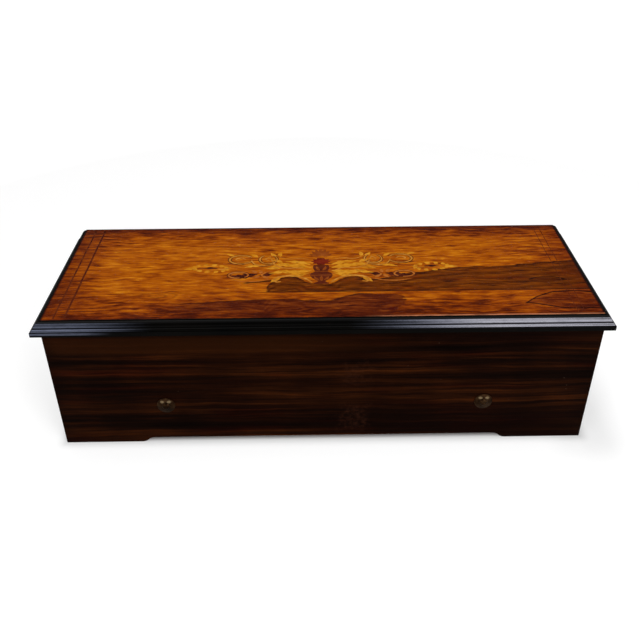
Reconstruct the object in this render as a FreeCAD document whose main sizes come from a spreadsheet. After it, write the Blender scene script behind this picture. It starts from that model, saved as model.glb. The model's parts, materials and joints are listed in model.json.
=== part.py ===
import FreeCAD, Part

import math
import os
import re

import Sketcher

# A lever-wound cylinder musical box: a long veneered case on low feet, a lid with ebonised mouldings, a
# glazed inner lid, and a spring-driven movement with comb, pinned cylinder and air-brake governor on a
# brass bed. Millimetres. +X is to the right as the player stands, +Y to the back, +Z up. The origin is on
# the table, under the middle of the overall length and depth. The case takes its length, depth and height
# from what stands in it.

LEFT = 1
RIGHT = -1

SIZES = (
    # case
    ("wall", 12, "thickness of the case's four sides"),
    ("foot_relief", 6, "rise of the lower edge between the feet"),
    ("foot_length", 82, "length of a foot along the front"),
    ("foot_slope", 14, "length of the ogee from foot to lower edge"),
    ("side_foot_length", 42, "length of a foot along an end"),
    ("floor_gap", 8, "bottom board above the table"),
    ("floor_thickness", 8, "thickness of the bottom board"),
    ("compartment_width", 60, "clear width of each end compartment"),
    ("partition_thickness", 5, "thickness of a partition"),
    ("batten_width", 8, "depth of the rest for the glass lid"),
    ("batten_height", 8, "height of the rest for the glass lid"),
    ("lid_room", 6, "room between the glass lid and the lid"),
    ("front_room", 13.1, "room between the comb and the front"),
    ("rear_room", 5.9, "room between the fan and the rear"),
    ("left_room", 3, "room between the left partition and the bed"),
    ("right_room", 17, "room between the bed and the right partition"),
    ("head_room", 7.88, "room between the barrel wheel and the glass lid"),
    ("shaft_room", 1, "gap round the winding arbor where it passes the partition"),
    # lid
    ("lid_thickness", 13.7, "thickness of the lid"),
    ("lid_overhang", 8, "overhang of the lid at the front and ends"),
    ("moulding_width", 9.9, "width of the lid moulding"),
    ("fillet_height", 4.7, "upright fillet at the moulding's foot"),
    ("lower_ledge", 1.2, "flat above the fillet"),
    ("lower_bead_run", 2.0, "width of the lower bead"),
    ("lower_bead_rise", 2.4, "height of the lower bead"),
    ("quirk", 0.5, "small square step of the moulding"),
    ("top_bead", 1.0, "bead beside the veneered top"),
    ("lid_corner", 8, "rounding of the lid's rear corners"),
    ("bead_roundness", 0.75, "radius of a bead as a share of its chord"),
    ("sheet_length", 160, "length of the tune sheet"),
    ("sheet_width", 110, "width of the tune sheet"),
    ("sheet_thickness", 0.8, "thickness of the tune sheet"),
    # lid hinges
    ("hinge_length", 60, "length of a lid hinge"),
    ("hinge_spacing", 360, "distance between the lid hinges"),
    ("knuckle_radius", 2.0, "radius of a lid hinge's knuckle"),
    ("knuckle_offset", 1.5, "lid hinge axis behind the rear face"),
    ("knuckle_length", 15, "length of an outer knuckle"),
    ("knuckle_gap", 0.2, "gap between knuckles"),
    ("leaf_thickness", 2.0, "thickness of a lid hinge's leaf"),
    ("leaf_depth", 14, "depth of a lid hinge's leaf"),
    ("leaf_clearance", 0.3, "gap between a leaf and the other's knuckle"),
    ("hinge_pin_radius", 1.0, "radius of a lid hinge's pin"),
    ("recess_clearance", 0.1, "gap round a leaf in its recess"),
    # glass lid
    ("glass_frame_gap", 1.0, "gap between the glass lid and the front"),
    ("glass_frame_height", 8, "height of the glass lid's frame"),
    ("glass_rail", 15, "width of the frame's rails"),
    ("glass_thickness", 2, "thickness of the pane"),
    ("glass_rebate", 4, "width of the rebate that holds the pane"),
    ("glass_ledge", 4, "height of the ledge under the pane"),
    ("glass_fit", 0.2, "gap round the pane"),
    ("glass_hinge_length", 30, "length of a glass lid hinge"),
    ("glass_hinge_spacing", 260, "distance between the glass lid hinges"),
    ("glass_knuckle_radius", 1.6, "radius of a glass lid hinge's knuckle"),
    ("glass_knuckle_length", 8, "length of an outer knuckle"),
    ("glass_leaf_thickness", 1.0, "thickness of a glass lid hinge's leaf"),
    ("glass_leaf_depth", 9, "depth of a glass lid hinge's leaf"),
    ("glass_pin_radius", 0.7, "radius of a glass lid hinge's pin"),
    ("lift_radius", 4, "radius of the glass lid's knob"),
    ("lift_height", 4, "height of the glass lid's knob"),
    # fits
    ("running_clearance", 0.05, "radial clearance of a turning shaft"),
    ("seat_clearance", 0.02, "radial clearance of a fixed shaft"),
    ("end_gap", 1.6, "gap between neighbours along a shaft"),
    # bed and its bolts
    ("bolt_height", 50.8, "movement bolts above the table"),
    ("bolt_inset_left", 33.2, "left bolts from the bed's left end"),
    ("bolt_inset_right", 17, "right bolts from the bed's right end"),
    ("bolt_radius", 2.5, "radius of a movement bolt"),
    ("bolt_grip", 14, "length of a bolt in the bed"),
    ("bolt_head_radius", 4.4, "radius of a bolt's head"),
    ("bolt_head_height", 1.4, "height of a bolt's head"),
    ("washer_radius", 9.5, "radius of a bolt's washer"),
    ("washer_height", 1.8, "height of a bolt's washer"),
    ("washer_lip", 1, "flat of a washer round its bolt's head"),
    ("bed_thickness", 9, "thickness of the bed"),
    ("lug_length", 3, "length of the lugs that meet the case"),
    ("lug_width", 26, "width of a lug"),
    ("bed_end_left", 2, "bed beyond the left bridge"),
    ("bed_end_right", 7.5, "bed beyond the governor"),
    ("bed_clearance", 1.58, "gap between the barrel wheel and the bed"),
    ("screw_radius", 1.6, "radius of a movement screw"),
    ("screw_head_radius", 3.0, "radius of a movement screw's head"),
    ("screw_head_height", 2.0, "height of a movement screw's head"),
    ("screw_grip", 7, "depth of a movement screw's hole"),
    ("screw_end_room", 1, "hole beyond a screw's end"),
    # bridges
    ("bridge_left_thickness", 6, "thickness of the left bridge"),
    ("bridge_thickness", 8, "thickness of the other bridges"),
    ("bridge_boss", 9, "radius of a bridge's boss"),
    ("bridge_foot", 19, "half the width of a bridge's foot"),
    ("bridge_foot_height", 4, "height of a bridge's foot"),
    ("bridge_screw_inset", 5, "screw from the foot's end"),
    ("bridge_waist", 1, "upright beyond its boss where it meets the foot"),
    ("pivot_setback", 1, "end of a pivot inside its bridge's outer face"),
    # toothed wheels
    ("tooth_share", 0.42, "tooth's share of the pitch"),
    ("flank_angle", 20, "slope of a tooth's flank, degrees"),
    ("addendum", 0.8, "tooth outside the pitch circle, in modules"),
    ("dedendum", 1.05, "tooth inside the pitch circle, in modules"),
    ("drive_module", 0.9, "module of barrel wheel and cylinder pinion"),
    ("barrel_teeth", 72, "teeth of the barrel wheel"),
    ("drive_pinion_teeth", 18, "teeth of the cylinder pinion"),
    ("drive_width", 4, "width of the barrel wheel"),
    ("drive_pinion_width", 9, "width of the cylinder pinion"),
    ("brake_module", 0.8, "module of cylinder wheel and first pinion"),
    ("cylinder_teeth", 72, "teeth of the cylinder wheel"),
    ("first_pinion_teeth", 12, "leaves of the governor's first pinion"),
    ("cylinder_wheel_width", 3, "width of the cylinder wheel"),
    ("first_pinion_width", 6, "width of the first pinion"),
    ("fine_module", 0.5, "module of the governor's wheels"),
    ("first_teeth", 60, "teeth of the governor's first wheel"),
    ("second_pinion_teeth", 10, "leaves of the governor's second pinion"),
    ("second_teeth", 40, "teeth of the governor's second wheel"),
    ("fine_width", 1.5, "width of the first wheel"),
    ("second_pinion_width", 4.4, "width of the second pinion"),
    ("second_width", 2, "width of the second wheel"),
    # barrel and winding
    ("drum_length", 38, "length of the spring drum"),
    ("drum_radius", 29, "radius of the spring drum"),
    ("drum_wall", 1.6, "wall of the spring drum"),
    ("cover_thickness", 2, "thickness of the drum's cover"),
    ("winding_radius", 4, "radius of the winding arbor"),
    ("winding_core", 8, "radius of the arbor inside the spring"),
    ("winding_pivot", 3, "radius of the arbor's right pivot"),
    ("spring_turns", 4, "turns of the mainspring"),
    ("spring_thickness", 0.8, "thickness of the mainspring"),
    ("spring_gap", 0.5, "gap round the mainspring"),
    ("ratchet_gap", 5, "ratchet wheel from the partition"),
    ("ratchet_width", 4, "width of the ratchet wheel"),
    ("ratchet_radius", 15, "radius of the ratchet wheel's crests"),
    ("ratchet_depth", 2.2, "depth of a ratchet tooth"),
    ("ratchet_teeth", 24, "teeth of the ratchet wheel"),
    ("claw_reach", 22, "pawl pivot from the arbor"),
    ("claw_boss", 3.4, "radius of a pawl's boss"),
    ("claw_spread", 40, "angle from a pawl's pivot to its nose, degrees"),
    ("claw_lift", 0.3, "pawl's nose clear of the crests"),
    ("claw_stud", 1.5, "radius of a pawl's stud"),
    ("click_angle", -130, "direction of the holding pawl's pivot, degrees"),
    ("drive_claw_angle", 60, "direction of the driving pawl's pivot, degrees"),
    ("lever_arm_gap", 1.5, "winding lever from the ratchet wheel"),
    ("lever_arm_thickness", 6, "thickness of the winding lever"),
    ("lever_arm_length", 60, "winding lever from its axis to the grip"),
    ("lever_hub", 9, "radius of the winding lever's hub"),
    ("lever_arm_root", 5.5, "half width of the lever at its hub"),
    ("lever_arm_tip", 3.6, "half width of the lever at the grip"),
    ("ear_tip", 8, "half spread of the lever's ear at the pawl, degrees"),
    ("ear_root", 50, "half spread of the lever's ear at the hub, degrees"),
    ("grip_length", 26, "length of the lever's grip"),
    ("grip_radius", 6, "radius of the lever's grip"),
    ("nut_radius", 7, "radius of the arbor's nut across its corners"),
    ("nut_height", 5, "height of the arbor's nut"),
    # cylinder
    ("cylinder_radius", 26, "radius of the pinned cylinder"),
    ("cylinder_wall", 1.2, "wall of the cylinder"),
    ("cylinder_margin", 13.2, "cylinder beyond the comb's teeth"),
    ("cap_thickness", 3, "thickness of the cylinder's end caps"),
    ("arbor_radius", 3, "radius of the cylinder's arbor"),
    ("arbor_pivot", 2.2, "radius of the arbor's right pivot"),
    ("shift_travel", 2.9, "slide of the cylinder from tune to tune"),
    ("pin_length", 1.0, "height of a cylinder pin"),
    ("pin_width", 0.45, "width of a cylinder pin"),
    ("snail_room", 7.5, "room for the tune snail"),
    ("snail_radius", 8, "radius of the tune snail"),
    ("snail_offset", 13.5, "snail from the arbor's axis"),
    ("snail_base", 1.0, "thickness of the snail under its first step"),
    ("tunes", 6, "tunes on the cylinder"),
    ("stud_radius", 1.0, "radius of the stud that rides the snail"),
    ("stud_ring", 5.6, "stud from the snail's axis"),
    ("snail_lead", 1, "snail's step ahead of the stud's edge, degrees"),
    ("pin_turn", 137.5, "turn from one cylinder pin to the next, degrees"),
    # comb
    ("comb_teeth", 78, "teeth of the comb"),
    ("tooth_pitch", 3.2, "distance between the comb's teeth"),
    ("tooth_slot", 0.5, "slot between two teeth"),
    ("tooth_tip", 1.9, "width of a tooth's tip"),
    ("tooth_thickness", 1.6, "thickness of the teeth"),
    ("bass_length", 44, "length of the lowest tooth"),
    ("treble_length", 24, "length of the highest tooth"),
    ("comb_margin", 5.8, "comb beyond its outer teeth"),
    ("comb_depth", 64, "depth of the comb, tips included"),
    ("comb_thickness", 5, "thickness of the comb's root"),
    ("comb_rise", 1.2, "comb's top above the cylinder's axis"),
    ("comb_clearance", 0.15, "gap between tips and pins"),
    ("comb_base_depth", 17, "depth of the comb's base"),
    ("comb_screws", 5, "screws that hold the comb"),
    ("comb_arches", 4, "arches in the comb's base"),
    ("arch_height", 20, "height of the arches in the comb's base"),
    ("arch_pier", 12, "width of the piers between the arches"),
    ("arch_radius", 6, "rounding of the arches"),
    ("weight_teeth", 20, "weighted teeth"),
    ("weight_length", 9, "length of a tooth's lead weight"),
    ("weight_height", 5, "height of the lowest tooth's weight"),
    ("weight_taper", 0.6, "share of that height lost by the last weighted tooth"),
    ("weight_setback", 4, "weight behind the tooth's tip"),
    # governor
    ("plate_thickness", 2.5, "thickness of the governor's plates"),
    ("plate_half", 10.5, "half the depth of the governor's plates"),
    ("plate_foot", 4, "thickness of the governor's foot"),
    ("second_drop", 60, "second staff below the first, degrees"),
    ("second_spacing", 8, "second wheel right of the first"),
    ("first_spacing", 5, "first wheel right of the cylinder wheel"),
    ("plate_spacing", 6, "right plate beyond the second wheel"),
    ("staff_radius", 1.2, "radius of the governor's staffs"),
    ("staff_pivot", 0.8, "radius of the staffs' pivots"),
    ("staff_end_gap", 0.5, "gap between a staff's shoulder and its plate"),
    ("wheel_spokes", 4, "spokes of the first wheel"),
    ("wheel_rim", 0.86, "inner radius of a wheel's rim as a share of its root radius"),
    ("wheel_hub", 0.35, "radius of a wheel's hub as a share of its root radius"),
    ("wheel_spoke", 0.16, "width of a spoke as a share of the root radius"),
    ("tongue_floor", 1, "brass left under the worm's lower pivot"),
    ("worm_radius", 1.8, "radius of the worm"),
    ("worm_gap", 0.3, "gap between worm and wheel"),
    ("fan_radius", 8, "reach of the fan"),
    ("fan_thickness", 0.6, "thickness of the fan"),
    ("fan_gap", 2.7, "gap below the fan"),
    ("cock_gap", 2.6, "cock above the first wheel"),
    ("cock_thickness", 2, "thickness of the governor's cock"),
    # control levers
    ("control_height", 6.7, "control levers above the bed"),
    ("control_thickness", 3, "thickness of a control lever"),
    ("control_width", 5, "width of a control lever"),
    ("control_pivot_x", 10, "lever pivots right of the right bridge"),
    ("start_pivot_y", 50, "start lever's pivot in front of the cylinder's axis"),
    ("change_pivot_y", 72, "change lever's pivot in front of the cylinder's axis"),
    ("control_reach", 17, "lever beyond the partition"),
    ("control_swing", 8, "swing of a control lever each way, degrees"),
    ("control_tab", 20, "height of a lever's finger tab"),
    ("control_stud", 2, "radius of a lever's stud"),
    ("nose_gap", 7.5, "start lever's nose from the cylinder wheel"),
    ("window_gap", 1.5, "gap round a control lever in its window"),
)

ALIASES = {alias for alias, number, meaning in SIZES}

PLACES = {
    # along X
    "case_length": "2*(wall + compartment_width + partition_thickness) + left_room + bed_length + right_room",
    "case_left": "-case_length/2",
    "case_right": "case_length/2",
    "inner_left": "case_left + wall",
    "inner_right": "case_right - wall",
    "partition_left_low": "inner_left + compartment_width",
    "partition_left_high": "partition_left_low + partition_thickness",
    "partition_right_high": "inner_right - compartment_width",
    "partition_right_low": "partition_right_high - partition_thickness",
    "bed_left": "partition_left_high + left_room",
    "left_bridge_low": "bed_left + bed_end_left",
    "left_bridge_high": "left_bridge_low + bridge_left_thickness",
    "drum_low": "left_bridge_high + end_gap",
    "drum_high": "drum_low + drum_length",
    "drive_high": "drum_high + drive_width",
    "drive_middle": "drum_high + drive_width/2",
    "drive_pinion_low": "drive_middle - drive_pinion_width/2",
    "drive_pinion_high": "drive_middle + drive_pinion_width/2",
    "centre_bridge_low": "drive_pinion_high + end_gap",
    "centre_bridge_high": "centre_bridge_low + bridge_thickness",
    "cylinder_low": "centre_bridge_high + shift_travel + end_gap",
    "cylinder_length": "tooth_pitch*round(comb_teeth) + 2*cylinder_margin",
    "cylinder_high": "cylinder_low + cylinder_length",
    "cylinder_middle": "cylinder_low + cylinder_length/2",
    "cylinder_wheel_low": "cylinder_high + snail_room",
    "cylinder_wheel_high": "cylinder_wheel_low + cylinder_wheel_width",
    "cylinder_wheel_middle": "cylinder_wheel_low + cylinder_wheel_width/2",
    "snail_step": "shift_travel/(round(tunes) - 1)",
    "snail_first_step": "cylinder_wheel_low - seat_clearance - snail_base",
    "stud_gap": "1.2*snail_step*round(tunes)*stud_radius/(stud_ring*pi)",
    "right_bridge_low": "cylinder_wheel_high + first_spacing",
    "right_bridge_high": "right_bridge_low + bridge_thickness",
    "first_pinion_low": "cylinder_wheel_middle - first_pinion_width/2",
    "plate_left_high": "first_pinion_low - plate_thickness/2",
    "plate_left_low": "plate_left_high - plate_thickness",
    "first_low": "cylinder_wheel_high + first_spacing",
    "second_pinion_low": "first_low + fine_width/2 - second_pinion_width/2",
    "second_low": "first_low + second_spacing",
    "second_high": "second_low + second_width",
    "worm_x": "second_low + second_width/2",
    "plate_right_low": "second_high + plate_spacing",
    "plate_right_high": "plate_right_low + plate_thickness",
    "bed_length": (
        "bed_end_left + bridge_left_thickness + end_gap + drum_length + drive_width/2 + drive_pinion_width/2"
        " + end_gap + bridge_thickness + shift_travel + end_gap + cylinder_length + snail_room"
        " + cylinder_wheel_width + first_spacing + second_spacing + second_width + plate_spacing"
        " + plate_thickness + bed_end_right"
    ),
    "bed_right": "bed_left + bed_length",
    "bolt_left": "bed_left + bolt_inset_left",
    "bolt_right": "bed_right - bolt_inset_right",
    "comb_left": "cylinder_middle - tooth_pitch*round(comb_teeth)/2 - comb_margin",
    "comb_right": "cylinder_middle + tooth_pitch*round(comb_teeth)/2 + comb_margin",
    "ratchet_high": "partition_left_low - ratchet_gap",
    "ratchet_low": "ratchet_high - ratchet_width",
    "lever_arm_high": "ratchet_low - lever_arm_gap",
    "lever_arm_low": "lever_arm_high - lever_arm_thickness",
    "nut_high": "lever_arm_low - end_gap/4",
    "nut_low": "nut_high - nut_height",
    "control_x": "right_bridge_high + control_pivot_x",
    "tab_x": "partition_right_high + control_reach",
    "lid_edge_x": "case_right + lid_overhang",
    "board_edge_x": "lid_edge_x - moulding_width",
    # along Y
    "knuckle_proud": "knuckle_offset + knuckle_radius",
    "drive_distance": "drive_module*(round(barrel_teeth) + round(drive_pinion_teeth))/2",
    "brake_distance": "brake_module*(round(cylinder_teeth) + round(first_pinion_teeth))/2",
    "fine_distance": "fine_module*(round(first_teeth) + round(second_pinion_teeth))/2",
    "second_tip": "fine_module*(round(second_teeth)/2 + addendum)",
    "worm_distance": "second_tip + worm_gap + worm_radius",
    "pin_reach": "cylinder_radius + pin_length",
    "front_span": "pin_reach + comb_clearance + comb_depth + front_room",
    "rear_span": "brake_distance + fine_distance*cos(second_drop) + worm_distance + fan_radius + rear_room",
    "case_depth": "2*wall + front_span + rear_span",
    "front_face": "-(case_depth + lid_overhang + knuckle_proud)/2 + lid_overhang",
    "rear_face": "front_face + case_depth",
    "inner_front": "front_face + wall",
    "inner_rear": "rear_face - wall",
    "cylinder_y": "inner_front + front_span",
    "barrel_y": "cylinder_y - drive_distance",
    "tips_y": "cylinder_y - pin_reach - comb_clearance",
    "comb_front": "tips_y - comb_depth",
    "first_y": "cylinder_y + brake_distance",
    "second_y": "first_y + fine_distance*cos(second_drop)",
    "worm_y": "second_y + worm_distance",
    "plate_front": "second_y - plate_half - bridge_foot_height",
    "plate_rear": "second_y + plate_half/2",
    "hinge_y": "rear_face + knuckle_offset",
    "lid_edge_y": "front_face - lid_overhang",
    "board_edge_y": "lid_edge_y + moulding_width",
    "glass_hinge_y": "inner_rear - glass_knuckle_radius",
    "glass_front": "inner_front + glass_frame_gap",
    "glass_rear": "glass_hinge_y - glass_knuckle_radius - leaf_clearance",
    "start_y": "cylinder_y - start_pivot_y",
    "change_y": "cylinder_y - change_pivot_y",
    # along Z
    "floor_top": "floor_gap + floor_thickness",
    "bed_low": "bolt_height - bed_thickness/2",
    "bed_top": "bolt_height + bed_thickness/2",
    "drive_tip": "drive_module*(round(barrel_teeth)/2 + addendum)",
    "axis_z": "bed_top + drive_tip + bed_clearance",
    "glass_seat": "axis_z + drive_tip + head_room",
    "glass_top": "glass_seat + glass_frame_height",
    "glass_hinge_z": "glass_top + glass_leaf_thickness/2",
    "case_height": "glass_top + lid_room",
    "lid_top": "case_height + lid_thickness",
    "comb_top": "axis_z + comb_rise",
    "comb_low": "comb_top - comb_thickness",
    "tooth_low": "comb_top - tooth_thickness",
    "first_tip": "fine_module*(round(first_teeth)/2 + addendum)",
    "second_z": "axis_z - fine_distance*sin(second_drop)",
    "frame_top": "axis_z + first_tip + cock_gap",
    "fan_low": "second_z + second_tip + fan_gap",
    "control_low": "bed_top + control_height",
    "control_top": "control_low + control_thickness",
    "screw_shank": "bridge_foot_height + screw_grip - screw_end_room",
}

doc = FreeCAD.newDocument("CylinderMusicalBox")
sheet = doc.addObject("Spreadsheet::Sheet", "Dims")
for row, (alias, number, meaning) in enumerate(SIZES, start=1):
    sheet.set(f"A{row}", meaning)
    sheet.set(f"B{row}", str(number))
    sheet.setAlias(f"B{row}", alias)
doc.recompute()

pieces = []
cuts = []


def formula(text):
    """An expression of the sheet's cells, with every named place written out."""

    def written_out(match):
        word = match.group(0)
        if word in PLACES:
            return f"({formula(PLACES[word])})"
        return f"Dims.{word}" if word in ALIASES else word

    return re.sub(r"[A-Za-z_]\w*", written_out, str(text))


def size(text):
    """The number that an expression has now."""
    return float(sheet.evalExpression(formula(text)))


def count(alias):
    return int(round(size(alias)))


def put(thing, x="0", y="0", z="0"):
    """Bind an object's place to the sheet."""
    for axis, text in (("x", x), ("y", y), ("z", z)):
        if text != "0":
            thing.setExpression(f"Placement.Base.{axis}", formula(text))


def kept(thing, label):
    """Name an object as a sub-part of the musical box."""
    thing.Label = label
    pieces.append(thing)
    return thing


def arc_between(start, end, radius, turn):
    """The shorter arc from start to end, bending left or right on the way."""
    chord = end - start
    across = FreeCAD.Vector(-chord.y, chord.x, 0).normalize()
    rise = math.sqrt(max(radius**2 - (chord.Length / 2) ** 2, 0))
    centre = (start + end) * 0.5 + across * (rise * turn)
    first, last = (start, end) if turn == LEFT else (end, start)
    circle = Part.Circle(centre, FreeCAD.Vector(0, 0, 1), radius)
    angles = [math.atan2(point.y - centre.y, point.x - centre.x) for point in (first, last)]
    return Part.ArcOfCircle(circle, *angles)


def fix_point(sketch, geometry, vertex, u, v):
    """Hold a sketch point at two expressions."""
    for kind, text in (("DistanceX", u), ("DistanceY", v)):
        number = sketch.addConstraint(Sketcher.Constraint(kind, -1, 1, geometry, vertex, size(text)))
        sketch.setExpression(f"Constraints[{number}]", formula(text))


def fix_radius(sketch, geometry, radius):
    number = sketch.addConstraint(Sketcher.Constraint("Radius", geometry, size(radius)))
    sketch.setExpression(f"Constraints[{number}]", formula(radius))


def draw_outline(sketch, corners):
    """A closed outline. A corner is (u, v), or (u, v, radius, turn) where an arc leads on to the next one."""
    points = [FreeCAD.Vector(size(corner[0]), size(corner[1]), 0) for corner in corners]
    ends = []
    for number, corner in enumerate(corners):
        start = points[number]
        end = points[(number + 1) % len(points)]
        if len(corner) == 2:
            geometry = sketch.addGeometry(Part.LineSegment(start, end))
            ends.append((geometry, 1, 2))
            continue
        radius, turn = corner[2:]
        geometry = sketch.addGeometry(arc_between(start, end, size(radius), turn))
        ends.append((geometry, 1, 2) if turn == LEFT else (geometry, 2, 1))
    for number, corner in enumerate(corners):
        geometry, first, last = ends[number]
        next_geometry, next_first, next_last = ends[(number + 1) % len(ends)]
        sketch.addConstraint(Sketcher.Constraint("Coincident", geometry, last, next_geometry, next_first))
        fix_point(sketch, geometry, first, corner[0], corner[1])
        if len(corner) == 4:
            fix_radius(sketch, geometry, corner[2])


def draw_circles(sketch, circles):
    for u, v, radius in circles:
        centre = FreeCAD.Vector(size(u), size(v), 0)
        geometry = sketch.addGeometry(Part.Circle(centre, FreeCAD.Vector(0, 0, 1), size(radius)))
        fix_point(sketch, geometry, 3, u, v)
        fix_radius(sketch, geometry, radius)


class Solid:
    """A PartDesign body whose sketches are given in the musical box's own coordinates."""

    PLANES = {"XY": ("x", "y", "z", 1), "YZ": ("y", "z", "x", 1), "XZ": ("x", "z", "y", -1)}

    def __init__(self, x="0", y="0", z="0"):
        self.body = doc.addObject("PartDesign::Body", "Body")
        self.start = {"x": x, "y": y, "z": z}
        put(self.body, x, y, z)

    def local(self, text, axis):
        return text if self.start[axis] == "0" else f"({text}) - ({self.start[axis]})"

    def new_sketch(self, plane, level=None):
        """A sketch on an origin plane of the body, moved along the plane's normal to a level."""
        normal, sign = self.PLANES[plane][2:]
        role = f"{plane}_Plane"
        face = next(feature for feature in self.body.Origin.OriginFeatures if feature.Role == role)
        sketch = self.body.newObject("Sketcher::SketchObject", "Sketch")
        sketch.AttachmentSupport = [(face, "")]
        sketch.MapMode = "FlatFace"
        if level is not None:
            offset = self.local(level, normal)
            sketch.setExpression("AttachmentOffset.Base.z", formula(f"{sign}*({offset})"))
        return sketch

    def fill(self, sketch, plane, outline, circles):
        u, v = self.PLANES[plane][:2]
        if outline:
            draw_outline(sketch, [(self.local(c[0], u), self.local(c[1], v), *c[2:]) for c in outline])
        draw_circles(sketch, [(self.local(c[0], u), self.local(c[1], v), c[2]) for c in circles])

    def add(self, plane, low, high, outline=(), circles=()):
        """Pad an outline or circles between two levels."""
        sketch = self.new_sketch(plane, low if self.PLANES[plane][3] == 1 else high)
        self.fill(sketch, plane, outline, circles)
        pad = self.body.newObject("PartDesign::Pad", "Pad")
        pad.Profile = sketch
        pad.setExpression("Length", formula(f"({high}) - ({low})"))
        return self

    def cut(self, plane, low, high, outline=(), circles=()):
        """Pocket an outline or circles between two levels."""
        sketch = self.new_sketch(plane, low if self.PLANES[plane][3] == 1 else high)
        self.fill(sketch, plane, outline, circles)
        pocket = self.body.newObject("PartDesign::Pocket", "Pocket")
        pocket.Profile = sketch
        pocket.Type = "Length"
        pocket.Reversed = True
        pocket.setExpression("Length", formula(f"({high}) - ({low})"))
        cuts.append(pocket)
        return self

    def turn(self, axis, outline):
        """Revolve an outline of (along the axis, radius) about the body's own axis."""
        if axis == "X":
            plane, line = "XY", "H_Axis"
            corners = [(self.local(c[0], "x"), *c[1:]) for c in outline]
        else:
            plane, line = ("XY" if axis == "Y" else "XZ"), "V_Axis"
            low = axis.lower()
            corners = []
            for along, radius, *arc in outline:
                corners.append((radius, self.local(along, low), *([arc[0], -arc[1]] if arc else [])))
        sketch = self.new_sketch(plane)
        draw_outline(sketch, corners)
        revolution = self.body.newObject("PartDesign::Revolution", "Revolution")
        revolution.Profile = sketch
        revolution.ReferenceAxis = (sketch, [line])
        revolution.Angle = 360
        return self

    def keep(self, label):
        kept(self.body, label)
        return self


def rectangle(u_low, u_high, v_low, v_high):
    return [(u_low, v_low), (u_high, v_low), (u_high, v_high), (u_low, v_high)]


def block(x_low, x_high, y_low, y_high, z_low, z_high):
    box = doc.addObject("Part::Box", "Box")
    for name, low, high in (("Length", x_low, x_high), ("Width", y_low, y_high), ("Height", z_low, z_high)):
        box.setExpression(name, formula(f"({high}) - ({low})"))
    put(box, x_low, y_low, z_low)
    return box


TO_AXIS = {
    "X": FreeCAD.Rotation(FreeCAD.Vector(0, 1, 0), 90),
    "Y": FreeCAD.Rotation(FreeCAD.Vector(1, 0, 0), -90),
    "Z": FreeCAD.Rotation(),
}


def rod(axis, x, y, z, length, radius):
    """A round bar that starts at a point and runs along +axis."""
    cylinder = doc.addObject("Part::Cylinder", "Rod")
    cylinder.Placement.Rotation = TO_AXIS[axis]
    cylinder.setExpression("Radius", formula(radius))
    cylinder.setExpression("Height", formula(length))
    put(cylinder, x, y, z)
    return cylinder


def joined(things):
    fuse = doc.addObject("Part::MultiFuse", "Fuse")
    fuse.Shapes = things
    return fuse


def group(things, label):
    """Identical separate pieces that share a node."""
    compound = doc.addObject("Part::Compound", "Group")
    compound.Links = things
    return kept(compound, label)


def shaped(shape, label, x="0", y="0", z="0"):
    """A sub-part whose shape is computed from the sheet."""
    feature = doc.addObject("Part::Feature", "Shaped")
    feature.Shape = shape
    put(feature, x, y, z)
    return kept(feature, label)


# ---------------------------------------------------------------------------------------------- case


def ogee(u, slope_end, rising):
    """The lower edge's climb from a foot, as two arcs that meet halfway. It starts and ends level."""
    radius = "(foot_slope^2/4 + foot_relief^2/4)/foot_relief"
    middle = f"(({u}) + ({slope_end}))/2"
    first, second = (LEFT, RIGHT) if rising else (RIGHT, LEFT)
    start = "0" if rising else "foot_relief"
    return [(u, start, radius, first), (middle, "foot_relief/2", radius, second)]


def footed_outline(low, high, foot):
    """A case side's outline: a rectangle whose lower edge is raised between two feet."""
    left_slope = f"({low}) + {foot}"
    left_end = f"({low}) + {foot} + foot_slope"
    right_slope = f"({high}) - {foot} - foot_slope"
    right_end = f"({high}) - {foot}"
    return [
        (low, "0"),
        *ogee(left_slope, left_end, True),
        (left_end, "foot_relief"),
        *ogee(right_slope, right_end, False),
        (right_end, "0"),
        (high, "0"),
        (high, "case_height"),
        (low, "case_height"),
    ]


def bolt_holes(radius):
    return [(x, "bolt_height", radius) for x in ("bolt_left", "bolt_right")]


def front_panel():
    panel = Solid(y="inner_front").keep("front_panel")
    panel.add("XZ", "front_face", "inner_front", footed_outline("case_left", "case_right", "foot_length"))
    panel.cut("XZ", "front_face", "inner_front", circles=bolt_holes("bolt_radius + running_clearance"))


def hinge_centres():
    return ("-hinge_spacing/2", "hinge_spacing/2")


def hinge_recess(centre):
    half = "(hinge_length/2 + recess_clearance)"
    return rectangle(
        f"{centre} - {half}", f"{centre} + {half}", "rear_face - leaf_depth - recess_clearance", "rear_face"
    )


def rear_panel():
    panel = Solid(y="rear_face").keep("rear_panel")
    panel.add("XZ", "inner_rear", "rear_face", footed_outline("case_left", "case_right", "foot_length"))
    panel.cut("XZ", "inner_rear", "rear_face", circles=bolt_holes("bolt_radius + running_clearance"))
    for centre in hinge_centres():
        panel.cut("XY", "case_height - leaf_thickness", "case_height", hinge_recess(centre))


def case_ends():
    outline = footed_outline("inner_front", "inner_rear", "side_foot_length")
    Solid(x="case_left").keep("left_end").add("YZ", "case_left", "inner_left", outline)
    Solid(x="inner_right").keep("right_end").add("YZ", "inner_right", "case_right", outline)


def bottom_board():
    board = block("inner_left", "inner_right", "inner_front", "inner_rear", "floor_gap", "floor_top")
    kept(board, "bottom_board")


def left_partition():
    board = Solid(x="partition_left_low").keep("left_partition")
    board.add(
        "YZ",
        "partition_left_low",
        "partition_left_high",
        rectangle("inner_front", "inner_rear", "floor_top", "glass_seat"),
    )
    board.cut(
        "YZ",
        "partition_left_low",
        "partition_left_high",
        circles=[
            ("barrel_y", "axis_z", "winding_radius + shaft_room"),
            (*claw_pivot("click_angle"), "claw_stud"),
        ],
    )


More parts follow.
